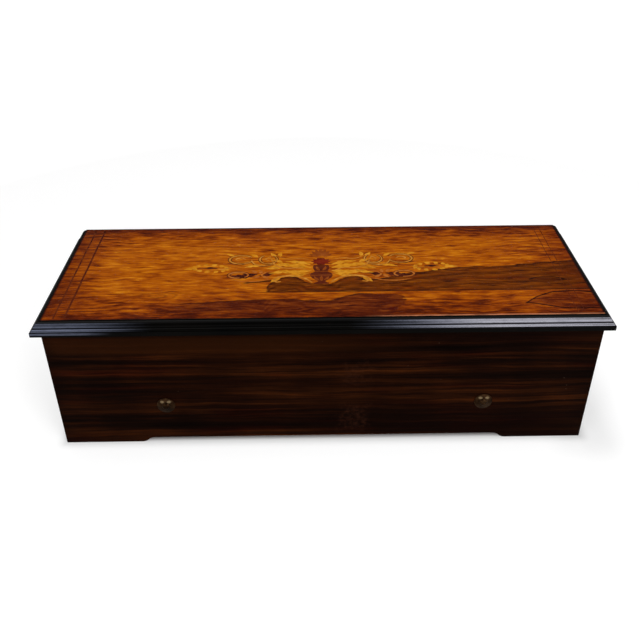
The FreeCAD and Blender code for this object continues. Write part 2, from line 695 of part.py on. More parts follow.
def control_slot(pivot):
    """The window a control lever swings in."""
    half = "((partition_right_high - control_x)*tan(control_swing) + control_width/2 + window_gap)"
    low = "control_low - window_gap"
    high = "control_top + window_gap"
    return rectangle(f"{pivot} - {half}", f"{pivot} + {half}", low, high)


def right_partition():
    board = Solid(x="partition_right_low").keep("right_partition")
    board.add(
        "YZ",
        "partition_right_low",
        "partition_right_high",
        rectangle("inner_front", "inner_rear", "floor_top", "glass_seat"),
    )
    for pivot in ("start_y", "change_y"):
        board.cut("YZ", "partition_right_low", "partition_right_high", control_slot(pivot))


def glass_rest():
    batten = block(
        "partition_left_high",
        "partition_right_low",
        "inner_front",
        "inner_front + batten_width",
        "glass_seat - batten_height",
        "glass_seat",
    )
    kept(batten, "glass_rest_batten")


# ---------------------------------------------------------------------------------------------- lid


def moulding_profile(outer, inwards, base):
    """The moulding's section as (across, up), from its foot. inwards is + or - along the across axis."""

    def at(across, up):
        return (f"{outer} {inwards} ({across})", f"{base} + ({up})")

    turn = LEFT if inwards == "-" else RIGHT
    low_radius = "bead_roundness*sqrt(lower_bead_run^2 + lower_bead_rise^2)"
    wide_start = "lower_ledge + lower_bead_run + quirk"
    wide_end = "moulding_width - top_bead - quirk"
    wide_low = "fillet_height + lower_bead_rise + quirk"
    wide_high = "lid_thickness - 1.6*quirk"
    wide_radius = f"bead_roundness*sqrt(({wide_end} - ({wide_start}))^2 + ({wide_high} - ({wide_low}))^2)"
    return [
        at("0", "0"),
        at("0", "fillet_height"),
        (*at("lower_ledge", "fillet_height"), low_radius, turn),
        at("lower_ledge + lower_bead_run", "fillet_height + lower_bead_rise"),
        at("lower_ledge + lower_bead_run", wide_low),
        (*at(wide_start, wide_low), wide_radius, turn),
        at(wide_end, wide_high),
        at(wide_end, f"{wide_high} - quirk"),
        at("moulding_width - top_bead", f"{wide_high} - quirk"),
        (*at("moulding_width - top_bead", "lid_thickness - top_bead/2"), "top_bead/2", turn),
        at("moulding_width - top_bead/2", "lid_thickness"),
        at("moulding_width", "lid_thickness"),
        at("moulding_width", "0"),
    ]


def lid_mouldings():
    """Three lengths, mitred at the front corners and square at the back."""
    front = Solid(x="-lid_edge_x").keep("lid_moulding_front")
    front.add("YZ", "-lid_edge_x", "lid_edge_x", moulding_profile("lid_edge_y", "+", "case_height"))
    for side in ("-", "+"):
        inwards = "+" if side == "-" else "-"
        corner = [
            (f"{side}lid_edge_x", "lid_edge_y"),
            (f"{side}lid_edge_x {inwards} moulding_width", "board_edge_y"),
            (f"{side}lid_edge_x", "board_edge_y"),
        ]
        front.cut("XY", "case_height", "lid_top", corner)
    for label, side, inwards in (("lid_moulding_left", "-", "+"), ("lid_moulding_right", "+", "-")):
        length = Solid(y="rear_face").keep(label)
        profile = moulding_profile(f"{side}lid_edge_x", inwards, "case_height")
        length.add("XZ", "lid_edge_y", "rear_face", profile)
        corner = [
            (f"{side}lid_edge_x", "lid_edge_y"),
            (f"{side}lid_edge_x {inwards} moulding_width", "lid_edge_y"),
            (f"{side}lid_edge_x {inwards} moulding_width", "board_edge_y"),
        ]
        length.cut("XY", "case_height", "lid_top", corner)
        rounding = [
            (f"{side}lid_edge_x", "rear_face - lid_corner", "lid_corner", LEFT if side == "+" else RIGHT),
            (f"{side}lid_edge_x {inwards} lid_corner", "rear_face"),
            (f"{side}lid_edge_x", "rear_face"),
        ]
        length.cut("XY", "case_height", "lid_top", rounding)


def lid_board():
    board = Solid(z="case_height").keep("lid_board")
    outline = rectangle("-board_edge_x", "board_edge_x", "board_edge_y", "rear_face")
    board.add("XY", "case_height", "lid_top", outline)
    for centre in hinge_centres():
        board.cut("XY", "case_height", "case_height + leaf_thickness", hinge_recess(centre))


def tune_sheet():
    sheet_block = block(
        "-sheet_length/2",
        "sheet_length/2",
        "-sheet_width/2",
        "sheet_width/2",
        "case_height - sheet_thickness",
        "case_height",
    )
    kept(sheet_block, "tune_sheet")


# ---------------------------------------------------------------------------------------------- hinges


def knuckle_spans(centre, length, outer, middle):
    """Where a leaf's knuckles are along the axis: two outer ones, or the middle one."""
    low = f"({centre}) - {length}/2"
    high = f"({centre}) + {length}/2"
    if middle:
        return [(f"{low} + {outer} + knuckle_gap", f"{high} - {outer} - knuckle_gap")]
    return [(low, f"{low} + {outer}"), (f"{high} - {outer}", high)]


def lid_hinge_leaf(centre, middle):
    """One leaf of a lid hinge, lying in its recess, with its knuckles round the pin."""
    z_low = "case_height" if middle else "case_height - leaf_thickness"
    z_high = "case_height + leaf_thickness" if middle else "case_height"
    x_low = f"{centre} - hinge_length/2"
    x_high = f"{centre} + hinge_length/2"
    plate_end = "hinge_y - knuckle_radius - leaf_clearance"
    leaf = Solid(z=z_low)
    leaf.add("XY", z_low, z_high, rectangle(x_low, x_high, "rear_face - leaf_depth", plate_end))
    for low, high in knuckle_spans(centre, "hinge_length", "knuckle_length", middle):
        leaf.add("XY", z_low, z_high, rectangle(low, high, f"{plate_end} - leaf_thickness", "hinge_y"))
        leaf.add("YZ", low, high, circles=[("hinge_y", "case_height", "knuckle_radius")])
    bore = [("hinge_y", "case_height", "hinge_pin_radius + running_clearance")]
    leaf.cut("YZ", x_low, x_high, circles=bore)
    return leaf.body


def lid_hinges():
    group([lid_hinge_leaf(centre, False) for centre in hinge_centres()], "case_hinge_leaves")
    group([lid_hinge_leaf(centre, True) for centre in hinge_centres()], "lid_hinge_leaves")
    pins = [
        rod("X", f"{centre} - hinge_length/2", "hinge_y", "case_height", "hinge_length", "hinge_pin_radius")
        for centre in hinge_centres()
    ]
    group(pins, "lid_hinge_pins")


def glass_hinge_leaf(centre, middle):
    """One leaf of a glass lid hinge: upright on the rear panel, or flat on the frame."""
    x_low = f"{centre} - glass_hinge_length/2"
    x_high = f"{centre} + glass_hinge_length/2"
    near = "glass_knuckle_radius + leaf_clearance"
    if middle:
        leaf = Solid(z="glass_top")
        z_high = "glass_top + glass_leaf_thickness"
        y_end = f"glass_hinge_y - ({near})"
        y_start = "glass_hinge_y - glass_leaf_depth"
        leaf.add("XY", "glass_top", z_high, rectangle(x_low, x_high, y_start, y_end))
    else:
        leaf = Solid(y="inner_rear")
        y_start = "inner_rear - glass_leaf_thickness"
        z_low = "glass_hinge_z - glass_leaf_depth"
        z_end = f"glass_hinge_z - ({near})"
        leaf.add("XZ", y_start, "inner_rear", rectangle(x_low, x_high, z_low, z_end))
    for low, high in knuckle_spans(centre, "glass_hinge_length", "glass_knuckle_length", middle):
        if middle:
            tab = rectangle(low, high, f"{y_end} - glass_leaf_thickness", "glass_hinge_y")
            leaf.add("XY", "glass_top", z_high, tab)
        else:
            tab = rectangle(low, high, f"{z_end} - glass_leaf_thickness", "glass_hinge_z")
            leaf.add("XZ", y_start, "inner_rear", tab)
        leaf.add("YZ", low, high, circles=[("glass_hinge_y", "glass_hinge_z", "glass_knuckle_radius")])
    bore = [("glass_hinge_y", "glass_hinge_z", "glass_pin_radius + running_clearance")]
    leaf.cut("YZ", x_low, x_high, circles=bore)
    return leaf.body


def glass_hinges():
    centres = ("-glass_hinge_spacing/2", "glass_hinge_spacing/2")
    group([glass_hinge_leaf(centre, False) for centre in centres], "glass_hinge_case_leaves")
    group([glass_hinge_leaf(centre, True) for centre in centres], "glass_hinge_frame_leaves")
    pins = [
        rod(
            "X",
            f"{centre} - glass_hinge_length/2",
            "glass_hinge_y",
            "glass_hinge_z",
            "glass_hinge_length",
            "glass_pin_radius",
        )
        for centre in centres
    ]
    group(pins, "glass_hinge_pins")


# ---------------------------------------------------------------------------------------------- glass lid


def glass_opening(inset):
    """The frame's window, or a rectangle a little larger or smaller."""
    edge = f"(glass_rail - ({inset}))"
    return rectangle(
        f"partition_left_low + {edge}",
        f"partition_right_high - {edge}",
        f"glass_front + {edge}",
        f"glass_rear - {edge}",
    )


def glass_lid():
    frame = Solid(z="glass_seat").keep("glass_lid_frame")
    outline = rectangle("partition_left_low", "partition_right_high", "glass_front", "glass_rear")
    frame.add("XY", "glass_seat", "glass_top", outline)
    frame.cut("XY", "glass_seat", "glass_top", glass_opening("0"))
    frame.cut("XY", "glass_seat + glass_ledge", "glass_top", glass_opening("glass_rebate"))
    pane = Solid(z="glass_seat + glass_ledge").keep("glass_pane")
    pane_high = "glass_seat + glass_ledge + glass_thickness"
    pane.add("XY", "glass_seat + glass_ledge", pane_high, glass_opening("glass_rebate - glass_fit"))
    knob = Solid(y="glass_front + glass_rail/2", z="glass_top").keep("glass_lid_knob")
    knob.turn(
        "Z",
        [
            ("glass_top", "0"),
            ("glass_top", "lift_radius*0.8"),
            ("glass_top + lift_height*0.3", "lift_radius*0.45"),
            ("glass_top + lift_height*0.7", "lift_radius"),
            ("glass_top + lift_height", "lift_radius*0.6"),
            ("glass_top + lift_height", "0"),
        ],
    )


# ---------------------------------------------------------------------------------------------- bed and bolts


def bedplate():
    """The brass bed. Only its lugs meet the case, where the bolts go in."""
    bed = Solid(z="bed_low").keep("bedplate")
    front = "inner_front + lug_length"
    rear = "inner_rear - lug_length"
    lug_edges = [f"bolt_left {s} lug_width/2" for s in "-+"] + [f"bolt_right {s} lug_width/2" for s in "-+"]
    outline = [("bed_left", front)]
    for number, edge in enumerate(lug_edges):
        steps = (front, "inner_front") if number % 2 == 0 else ("inner_front", front)
        outline += [(edge, steps[0]), (edge, steps[1])]
    outline += [("bed_right", front), ("bed_right", rear)]
    for number, edge in enumerate(reversed(lug_edges)):
        steps = (rear, "inner_rear") if number % 2 == 0 else ("inner_rear", rear)
        outline += [(edge, steps[0]), (edge, steps[1])]
    outline.append(("bed_left", rear))
    bed.add("XY", "bed_low", "bed_top", outline)
    for low, high in (("inner_front", "inner_front + bolt_grip"), ("inner_rear - bolt_grip", "inner_rear")):
        bed.cut("XZ", low, high, circles=bolt_holes("bolt_radius + seat_clearance"))
    holes = [(x, y, "screw_radius + seat_clearance") for x, y in bed_screw_places()]
    bed.cut("XY", "bed_top - screw_grip", "bed_top", circles=holes)


def movement_bolts():
    """Four bolts from outside the case into the bed's lugs, each on a domed washer."""
    bolts = []
    washers = []
    for x in ("bolt_left", "bolt_right"):
        for face, out, back, turn in (("front_face", "-", "+", LEFT), ("rear_face", "+", "-", RIGHT)):
            seat = f"{face} {out} washer_height"
            bolt = Solid(x=x, y=face, z="bolt_height")
            bolt.turn(
                "Y",
                [
                    (f"{seat} {out} bolt_head_height", "0"),
                    (f"{seat} {out} bolt_head_height", "bolt_head_radius*0.7"),
                    (f"{seat} {out} bolt_head_height/3", "bolt_head_radius"),
                    (seat, "bolt_head_radius"),
                    (seat, "bolt_radius"),
                    (f"{face} {back} (wall + bolt_grip)", "bolt_radius"),
                    (f"{face} {back} (wall + bolt_grip)", "0"),
                ],
            )
            bolts.append(bolt.body)
            washer = Solid(x=x, y=face, z="bolt_height")
            washer.turn(
                "Y",
                [
                    (face, "bolt_radius + running_clearance"),
                    (face, "washer_radius"),
                    (f"{face} {out} washer_height/3", "washer_radius"),
                    (seat, "bolt_head_radius + washer_lip"),
                    (seat, "bolt_radius + running_clearance"),
                ],
            )
            washers.append(washer.body)
    group(bolts, "movement_bolts")
    group(washers, "bolt_washers")


# ---------------------------------------------------------------------------------------------- bridges


def bridge_foot_screws(low, high, axes):
    """Screw centres in a bridge's foot: one beyond each end."""
    x = f"(({low}) + ({high}))/2"
    ends = (f"{axes[0]} - bridge_foot + bridge_screw_inset", f"{axes[-1]} + bridge_foot - bridge_screw_inset")
    return [(x, y) for y in ends]


BRIDGES = (
    ("barrel_bridge", "left_bridge_low", "left_bridge_high", ("barrel_y",), ("winding_radius",)),
    (
        "centre_bridge",
        "centre_bridge_low",
        "centre_bridge_high",
        ("barrel_y", "cylinder_y"),
        ("winding_pivot", "arbor_radius"),
    ),
    ("cylinder_bridge", "right_bridge_low", "right_bridge_high", ("cylinder_y",), ("arbor_pivot",)),
)


def bed_screw_places():
    places = [place for bridge in BRIDGES for place in bridge_foot_screws(*bridge[1:4])]
    return places + governor_screws()


def bridges():
    """Cast brackets that carry the arbors: a foot on the bed, a tapering upright and a round boss."""
    foot_top = "bed_top + bridge_foot_height"
    for label, low, high, axes, shafts in BRIDGES:
        bridge = Solid(x=low).keep(label)
        first, last = axes[0], axes[-1]
        outline = [
            (f"{first} - bridge_foot", "bed_top"),
            (f"{last} + bridge_foot", "bed_top"),
            (f"{last} + bridge_foot", foot_top),
            (f"{last} + bridge_boss + bridge_waist", foot_top),
        ]
        for axis in reversed(axes):
            outline += [
                (f"{axis} + bridge_boss", "axis_z", "bridge_boss", LEFT),
                (axis, "axis_z + bridge_boss", "bridge_boss", LEFT),
                (f"{axis} - bridge_boss", "axis_z"),
            ]
        outline.append((f"{first} - bridge_boss - bridge_waist", foot_top))
        outline.append((f"{first} - bridge_foot", foot_top))
        bridge.add("YZ", low, high, outline)
        bores = [(axis, "axis_z", f"{shaft} + running_clearance") for axis, shaft in zip(axes, shafts)]
        bridge.cut("YZ", low, high, circles=bores)
        holes = [(x, y, "screw_radius + running_clearance") for x, y in bridge_foot_screws(low, high, axes)]
        bridge.cut("XY", "bed_top", foot_top, circles=holes)
        if len(axes) == 2:
            arch_low = foot_top
            arch_high = "axis_z - 2*bridge_boss"
            left = f"{first} + bridge_boss/2"
            right = f"{last} - bridge_boss/2"
            window = [
                (left, arch_low),
                (right, arch_low),
                (right, arch_high),
                (f"{right} - bridge_boss/2", f"{arch_high} + bridge_boss/2"),
                (f"{left} + bridge_boss/2", f"{arch_high} + bridge_boss/2"),
                (left, arch_high),
            ]
            bridge.cut("YZ", low, high, window)


def screw(x, y, seat):
    """A cheese-head screw whose head sits on a seat."""
    head = rod("Z", x, y, seat, "screw_head_height", "screw_head_radius")
    shank = rod("Z", x, y, f"{seat} - screw_shank", "screw_shank", "screw_radius")
    return joined([head, shank])


# ---------------------------------------------------------------------------------------------- toothed wheels


def outline_face(points):
    vectors = [FreeCAD.Vector(0, y, z) for y, z in points]
    return Part.Face(Part.makePolygon(vectors + vectors[:1]))


def toothed(teeth, module, width, turned=0.0):
    """A spur wheel on the X axis from x = 0. turned, in degrees, is the direction of one tooth's middle."""
    slope = math.tan(math.radians(size("flank_angle")))
    half = size("tooth_share") * math.pi * module / 2
    outside = size("addendum") * module
    inside = size("dedendum") * module
    pitch_radius = teeth * module / 2
    corners = (
        (pitch_radius - inside, -half - inside * slope),
        (pitch_radius + outside, -half + outside * slope),
        (pitch_radius + outside, half - outside * slope),
        (pitch_radius - inside, half + inside * slope),
    )
    points = []
    for number in range(teeth):
        middle = math.radians(turned) + 2 * math.pi * number / teeth
        for radius, across in corners:
            angle = middle + across / radius
            points.append((radius * math.cos(angle), radius * math.sin(angle)))
    return outline_face(points).extrude(FreeCAD.Vector(width, 0, 0))


def along_x(radius, low, high):
    return Part.makeCylinder(radius, high - low, FreeCAD.Vector(low, 0, 0), FreeCAD.Vector(1, 0, 0))


def crossed_out(wheel, width, inner, outer, spokes, spoke_width):
    """A wheel with windows between its spokes."""
    ring = along_x(outer, 0, width).cut(along_x(inner, 0, width))
    for number in range(spokes):
        bar = Part.makeBox(width, 2 * outer, spoke_width, FreeCAD.Vector(0, 0, -spoke_width / 2))
        bar.rotate(FreeCAD.Vector(), FreeCAD.Vector(1, 0, 0), 360 * number / spokes)
        ring = ring.cut(bar)
    return wheel.cut(ring)


# ---------------------------------------------------------------------------------------------- barrel, winding


def spring_barrel():
    """The drum and its great wheel, cut from one casting and open at the left."""
    teeth = count("barrel_teeth")
    wheel = toothed(teeth, size("drive_module"), size("drive_width"))
    length = size("drum_length")
    radius = size("drum_radius")
    tube = along_x(radius, -length, 0).cut(along_x(radius - size("drum_wall"), -length, 0))
    bore = along_x(size("winding_radius + running_clearance"), -length, size("drive_width"))
    shaped(wheel.fuse(tube).cut(bore).removeSplitter(), "spring_barrel", "drum_high", "barrel_y", "axis_z")


def barrel_cover():
    cover = Solid(y="barrel_y", z="axis_z").keep("barrel_cover")
    inside = "winding_radius + running_clearance"
    outside = "drum_radius - drum_wall - seat_clearance"
    disc = [
        ("drum_low", inside),
        ("drum_low + cover_thickness", inside),
        ("drum_low + cover_thickness", outside),
        ("drum_low", outside),
    ]
    cover.turn("X", disc)


def mainspring():
    """A flat spiral between the arbor's core and the drum, as half turns whose centres change sides."""
    thickness = size("spring_thickness")
    inner = size("winding_core + spring_gap") + thickness / 2
    outer = size("drum_radius - drum_wall - seat_clearance") - thickness / 2
    halves = 2 * count("spring_turns")
    growth = (outer - inner) / halves
    edges = {side: [] for side in (-1, 1)}
    for number in range(halves):
        up, middle = (1, 0) if number % 2 == 0 else (-1, growth)
        for side in edges:
            radius = inner + growth * number + side * thickness / 2
            start = FreeCAD.Vector(0, middle + up * radius, 0)
            top = FreeCAD.Vector(0, middle, up * radius)
            end = FreeCAD.Vector(0, middle - up * radius, 0)
            edges[side].append((start, top, end))
    outline = [Part.Arc(start, top, end).toShape() for start, top, end in edges[1]]
    outline.append(Part.makeLine(edges[1][-1][2], edges[-1][-1][2]))
    outline += [Part.Arc(end, top, start).toShape() for start, top, end in reversed(edges[-1])]
    outline.append(Part.makeLine(edges[-1][0][0], edges[1][0][0]))
    low = size("drum_low + cover_thickness + spring_gap")
    high = size("drum_high - spring_gap")
    spiral = Part.Face(Part.Wire(outline)).extrude(FreeCAD.Vector(high - low, 0, 0))
    shaped(spiral, "mainspring", "drum_low + cover_thickness + spring_gap", "barrel_y", "axis_z")


def winding_arbor():
    """The steel arbor that the lever turns: a thick core for the spring and a plain length each side."""
    arbor = Solid(y="barrel_y", z="axis_z").keep("winding_arbor")
    core_low = "drum_low + cover_thickness + spring_gap"
    core_high = "drum_high - spring_gap"
    pivot_low = "drive_high + spring_gap"
    arbor.turn(
        "X",
        [
            ("nut_low - end_gap", "0"),
            ("nut_low - end_gap", "winding_radius"),
            (core_low, "winding_radius"),
            (core_low, "winding_core"),
            (core_high, "winding_core"),
            (core_high, "winding_radius"),
            (pivot_low, "winding_radius"),
            (pivot_low, "winding_pivot"),
            ("centre_bridge_high - pivot_setback", "winding_pivot"),
            ("centre_bridge_high - pivot_setback", "0"),
        ],
    )
    nut = Solid(x="nut_low").keep("arbor_nut")
    nut.add("YZ", "nut_low", "nut_high", [around_barrel("nut_radius", 60 * side) for side in range(6)])
    nut.cut("YZ", "nut_low", "nut_high", circles=[("barrel_y", "axis_z", "winding_radius + seat_clearance")])


def ratchet_wheel():
    """Saw teeth whose steep faces take the pawls' push."""
    teeth = count("ratchet_teeth")
    crest = size("ratchet_radius")
    root = crest - size("ratchet_depth")
    points = []
    for number in range(teeth):
        angle = 2 * math.pi * number / teeth
        points += [(radius * math.cos(angle), radius * math.sin(angle)) for radius in (root, crest)]
    wheel = outline_face(points).extrude(FreeCAD.Vector(size("ratchet_width"), 0, 0))
    bore = along_x(size("winding_radius + seat_clearance"), 0, size("ratchet_width"))
    shaped(wheel.cut(bore), "ratchet_wheel", "ratchet_low", "barrel_y", "axis_z")


def around_barrel(radius, angle):
    """A point round the barrel's axis, as (y, z)."""
    return (f"barrel_y + ({radius})*cos({angle})", f"axis_z + ({radius})*sin({angle})")


def claw_pivot(angle):
    return around_barrel("claw_reach", angle)


def claw(label, angle):
    """A pawl: a boss on its stud and a pointed arm whose nose lies just off the ratchet wheel's crests."""
    pawl = Solid(x="ratchet_low").keep(label)
    pivot = claw_pivot(angle)
    pawl.add("YZ", "ratchet_low", "ratchet_high", circles=[(*pivot, "claw_boss")])
    arm = [
        around_barrel("claw_reach + claw_boss*0.85", angle),
        around_barrel("ratchet_radius + claw_lift", f"{angle} + claw_spread"),
        around_barrel("claw_reach - claw_boss*0.85", angle),
    ]
    pawl.add("YZ", "ratchet_low", "ratchet_high", arm)
    pawl.cut("YZ", "ratchet_low", "ratchet_high", circles=[(*pivot, "claw_stud + running_clearance")])


def winding_lever():
    """A forged arm on the arbor. Its ear carries the driving pawl's stud."""
    arm = Solid(x="lever_arm_low").keep("winding_lever")
    end = "barrel_y + lever_arm_length"
    outline = [
        ("barrel_y", "axis_z - lever_arm_root"),
        (end, "axis_z - lever_arm_tip"),
        (end, "axis_z + lever_arm_tip"),
        ("barrel_y", "axis_z + lever_arm_root"),
    ]
    arm.add("YZ", "lever_arm_low", "lever_arm_high", circles=[("barrel_y", "axis_z", "lever_hub")])
    arm.add("YZ", "lever_arm_low", "lever_arm_high", outline)
    pivot = claw_pivot("drive_claw_angle")
    ear = [
        around_barrel("claw_reach", "drive_claw_angle + ear_tip"),
        around_barrel("lever_hub*0.9", "drive_claw_angle + ear_root"),
        around_barrel("lever_hub*0.9", "drive_claw_angle - ear_root"),
        around_barrel("claw_reach", "drive_claw_angle - ear_tip"),
    ]
    arm.add("YZ", "lever_arm_low", "lever_arm_high", ear)
    arm.add("YZ", "lever_arm_low", "lever_arm_high", circles=[(*pivot, "claw_boss")])
    arm.add("YZ", "lever_arm_high", "ratchet_high", circles=[(*pivot, "claw_stud")])
    bore = [("barrel_y", "axis_z", "winding_radius + running_clearance")]
    arm.cut("YZ", "lever_arm_low", "lever_arm_high", circles=bore)
    grip = Solid(x="(lever_arm_low + lever_arm_high)/2", y=end, z="axis_z").keep("lever_grip")
    grip.turn(
        "Y",
        [
            (end, "0"),
            (end, "grip_radius*0.75"),
            (f"{end} + grip_length*0.15", "grip_radius*0.6"),
            (f"{end} + grip_length*0.65", "grip_radius"),
            (f"{end} + grip_length*0.9", "grip_radius*0.85"),
            (f"{end} + grip_length", "grip_radius*0.4"),
            (f"{end} + grip_length", "0"),
        ],
    )


# ---------------------------------------------------------------------------------------------- cylinder


def cylinder_arbor():
    arbor = Solid(y="cylinder_y", z="axis_z").keep("cylinder_arbor")
    shoulder = "right_bridge_low - end_gap/2"
    arbor.turn(
        "X",
        [
            ("drive_pinion_low - pivot_setback", "0"),
            ("drive_pinion_low - pivot_setback", "arbor_radius"),
            (shoulder, "arbor_radius"),
            (shoulder, "arbor_pivot"),
            ("right_bridge_high - pivot_setback", "arbor_pivot"),
            ("right_bridge_high - pivot_setback", "0"),
        ],
    )
    bore = along_x(size("arbor_radius + seat_clearance"), 0, size("drive_pinion_width"))
    teeth = count("drive_pinion_teeth")
    pinion = toothed(teeth, size("drive_module"), size("drive_pinion_width"), 180 + 180 / teeth).cut(bore)
    shaped(pinion, "cylinder_pinion", "drive_pinion_low", "cylinder_y", "axis_z")
    width = size("cylinder_wheel_width")
    wheel = toothed(count("cylinder_teeth"), size("brake_module"), width)
    wheel = wheel.cut(along_x(size("arbor_radius + seat_clearance"), 0, width))
    snail_hole = along_x(size("stud_radius"), 0, width)
    snail_hole.translate(FreeCAD.Vector(0, size("snail_offset"), 0))
    shaped(wheel.cut(snail_hole), "cylinder_wheel", "cylinder_wheel_low", "cylinder_y", "axis_z")


def cylinder_barrel():
    """The brass tube, its two caps, and the stud that follows the snail."""
    tube = Solid(y="cylinder_y", z="axis_z").keep("cylinder_tube")
    outside = "cylinder_radius"
    inside = "cylinder_radius - cylinder_wall"
    wall = [
        ("cylinder_low", inside),
        ("cylinder_high", inside),
        ("cylinder_high", outside),
        ("cylinder_low", outside),
    ]
    tube.turn("X", wall)
    caps = []
    for low, high in (
        ("cylinder_low", "cylinder_low + cap_thickness"),
        ("cylinder_high - cap_thickness", "cylinder_high"),
    ):
        cap = Solid(y="cylinder_y", z="axis_z")
        bore = "arbor_radius + running_clearance"
        edge = "cylinder_radius - cylinder_wall - seat_clearance"
        cap.turn("X", [(low, bore), (high, bore), (high, edge), (low, edge)])
        if low != "cylinder_low":
            cap.add("YZ", high, "snail_first_step - stud_gap", circles=[(*stud_place(), "stud_radius")])
        caps.append(cap.body)
    group(caps, "cylinder_caps")


def stud_place():
    """The stud's centre, as (y, z): beyond the snail's axis, seen from the arbor."""
    return ("cylinder_y + snail_offset + stud_ring", "axis_z")


def tune_snail():
    """A cam of rising sectors, one for each tune, on a post in the cylinder wheel."""
    steps = count("tunes")
    base = size("snail_base")
    rise = size("shift_travel") / (steps - 1)
    radius = size("snail_radius")
    lead = math.degrees(math.asin(size("stud_radius") / size("stud_ring"))) + size("snail_lead")
    cam = along_x(radius, -base, 0)
    for number in range(1, steps):
        fan = outline_face(fan_points(2 * radius, lead, lead + 360 * (1 - number / steps)))
        low = -base - rise * number
        sector = fan.extrude(FreeCAD.Vector(rise, 0, 0))
        sector.translate(FreeCAD.Vector(low, 0, 0))
        cam = cam.fuse(sector.common(along_x(radius, low, low + rise)))
    post = along_x(size("stud_radius - running_clearance"), 0, size("cylinder_wheel_width"))
    shape = cam.fuse(post).removeSplitter()
    shaped(shape, "tune_snail", "cylinder_wheel_low - seat_clearance", "cylinder_y + snail_offset", "axis_z")


def fan_points(radius, start, end):
    """A flat fan about the origin, from one angle round to another."""
    steps = 8
    angles = [math.radians(start + (end - start) * number / steps) for number in range(steps + 1)]
    return [(0, 0)] + [(radius * math.cos(angle), radius * math.sin(angle)) for angle in angles]


def cylinder_pins():
    """A few of the many steel pins, one for each tooth of the comb, standing on the tube."""
    teeth = count("comb_teeth")
    pitch = size("tooth_pitch")
    width = size("pin_width")
    length = size("pin_length")
    radius = size("cylinder_radius")
    first = size("cylinder_middle") - pitch * (teeth - 1) / 2
    turn = size("pin_turn")
    pins = []
    for number in range(teeth):
        pin = Part.makeBox(width, length, width, FreeCAD.Vector(-width / 2, radius, -width / 2))
        pin.rotate(FreeCAD.Vector(), FreeCAD.Vector(1, 0, 0), turn * number)
        pin.translate(FreeCAD.Vector(first + pitch * number, 0, 0))
        pins.append(pin)
    shaped(Part.makeCompound(pins), "cylinder_pins", "0", "cylinder_y", "axis_z")


# ---------------------------------------------------------------------------------------------- comb


def comb_screw_places():
    number = count("comb_screws")
    span = "(comb_right - comb_left - 4*screw_head_radius)"
    y = "comb_front + comb_base_depth/2"
    return [(f"comb_left + 2*screw_head_radius + {span}*{i}/{number - 1}", y) for i in range(number)]


def comb_outline():
    """The comb in plan: a straight back, and teeth that grow longer towards the bass."""
    teeth = count("comb_teeth")
    pitch = size("tooth_pitch")
    slot = size("tooth_slot")
    tips = size("tips_y")
    left = size("comb_left")
    right = size("comb_right")
    front = size("comb_front")
    points = [(right, front), (left, front)]
    bass = size("bass_length")
    treble = size("treble_length")
    start = left + size("comb_margin")
    points.append((left, tips - bass))
    for number in range(teeth):
        root = tips - bass + (bass - treble) * number / (teeth - 1)
        middle = start + pitch * (number + 0.5)
        half = (pitch - slot) / 2
        tip = size("tooth_tip") / 2
        points += [(middle - half, root), (middle - tip, tips), (middle + tip, tips), (middle + half, root)]
    points.append((right, tips - treble))
    return [FreeCAD.Vector(x, y, 0) for x, y in points]


def comb():
    """One steel plate, thick at its back and relieved below the teeth."""
    points = comb_outline()
    thickness = size("comb_thickness")
    plate = Part.Face(Part.makePolygon(points + points[:1])).extrude(FreeCAD.Vector(0, 0, thickness))
    left = size("comb_left")
    right = size("comb_right")
    tips = size("tips_y")
    land = size("tooth_thickness")
    relief = [
        (left, tips - size("bass_length") - land),
        (right, tips - size("treble_length") - land),
        (right, tips + land),
        (left, tips + land),
    ]
    corners = [FreeCAD.Vector(x, y, 0) for x, y in relief]
    below = Part.Face(Part.makePolygon(corners + corners[:1])).extrude(FreeCAD.Vector(0, 0, thickness - land))
    plate = plate.cut(below)
    for x, y in comb_screw_places():
        centre = FreeCAD.Vector(size(x), size(y), 0)
        plate = plate.cut(Part.makeCylinder(size("screw_radius + running_clearance"), thickness, centre))
    shaped(plate, "comb", z="comb_low")


def comb_weights():
    """Lead blocks under the ends of the bass teeth, smaller towards the treble."""
    number = count("weight_teeth")
    weights = []
    for tooth in range(number):
        middle = f"comb_left + comb_margin + tooth_pitch*{tooth + 0.5}"
        share = f"(1 - weight_taper*{tooth}/{number})"
        weights.append(
            block(
                f"{middle} - tooth_tip/2",
                f"{middle} + tooth_tip/2",
                "tips_y - weight_setback - weight_length",
                "tips_y - weight_setback",
                f"tooth_low - weight_height*{share}",
                "tooth_low",
            )
        )
    group(weights, "comb_weights")


def comb_base():
    """A brass bar under the comb's back, arched over the bed."""
    base = Solid(y="comb_front + comb_base_depth").keep("comb_base")
    outline = [("comb_left", "bed_top")]
    arches = count("comb_arches")
    clear = f"((comb_right - comb_left - {arches + 1}*arch_pier)/{arches})"
    for number in range(arches):
        low = f"comb_left + arch_pier + {number}*({clear} + arch_pier)"
        high = f"{low} + {clear}"
        crown = "bed_top + arch_height"
        outline += [
            (low, "bed_top"),
            (low, f"{crown} - arch_radius", "arch_radius", RIGHT),
            (f"{low} + arch_radius", crown),
            (f"{high} - arch_radius", crown, "arch_radius", RIGHT),
            (high, f"{crown} - arch_radius"),
            (high, "bed_top"),
        ]
    outline += [("comb_right", "bed_top"), ("comb_right", "comb_low"), ("comb_left", "comb_low")]
    base.add("XZ", "comb_front", "comb_front + comb_base_depth", outline)
    holes = [(x, y, "screw_radius + seat_clearance") for x, y in comb_screw_places()]
    base.cut("XY", "comb_low - screw_grip", "comb_low", circles=holes)


def movement_screws():
    """All the screws that hold the comb, the bridges and the governor."""
    screws = [screw(x, y, "bed_top + bridge_foot_height") for x, y in bed_screw_places()]
    screws += [screw(x, y, "comb_top") for x, y in comb_screw_places()]
    group(screws, "movement_screws")


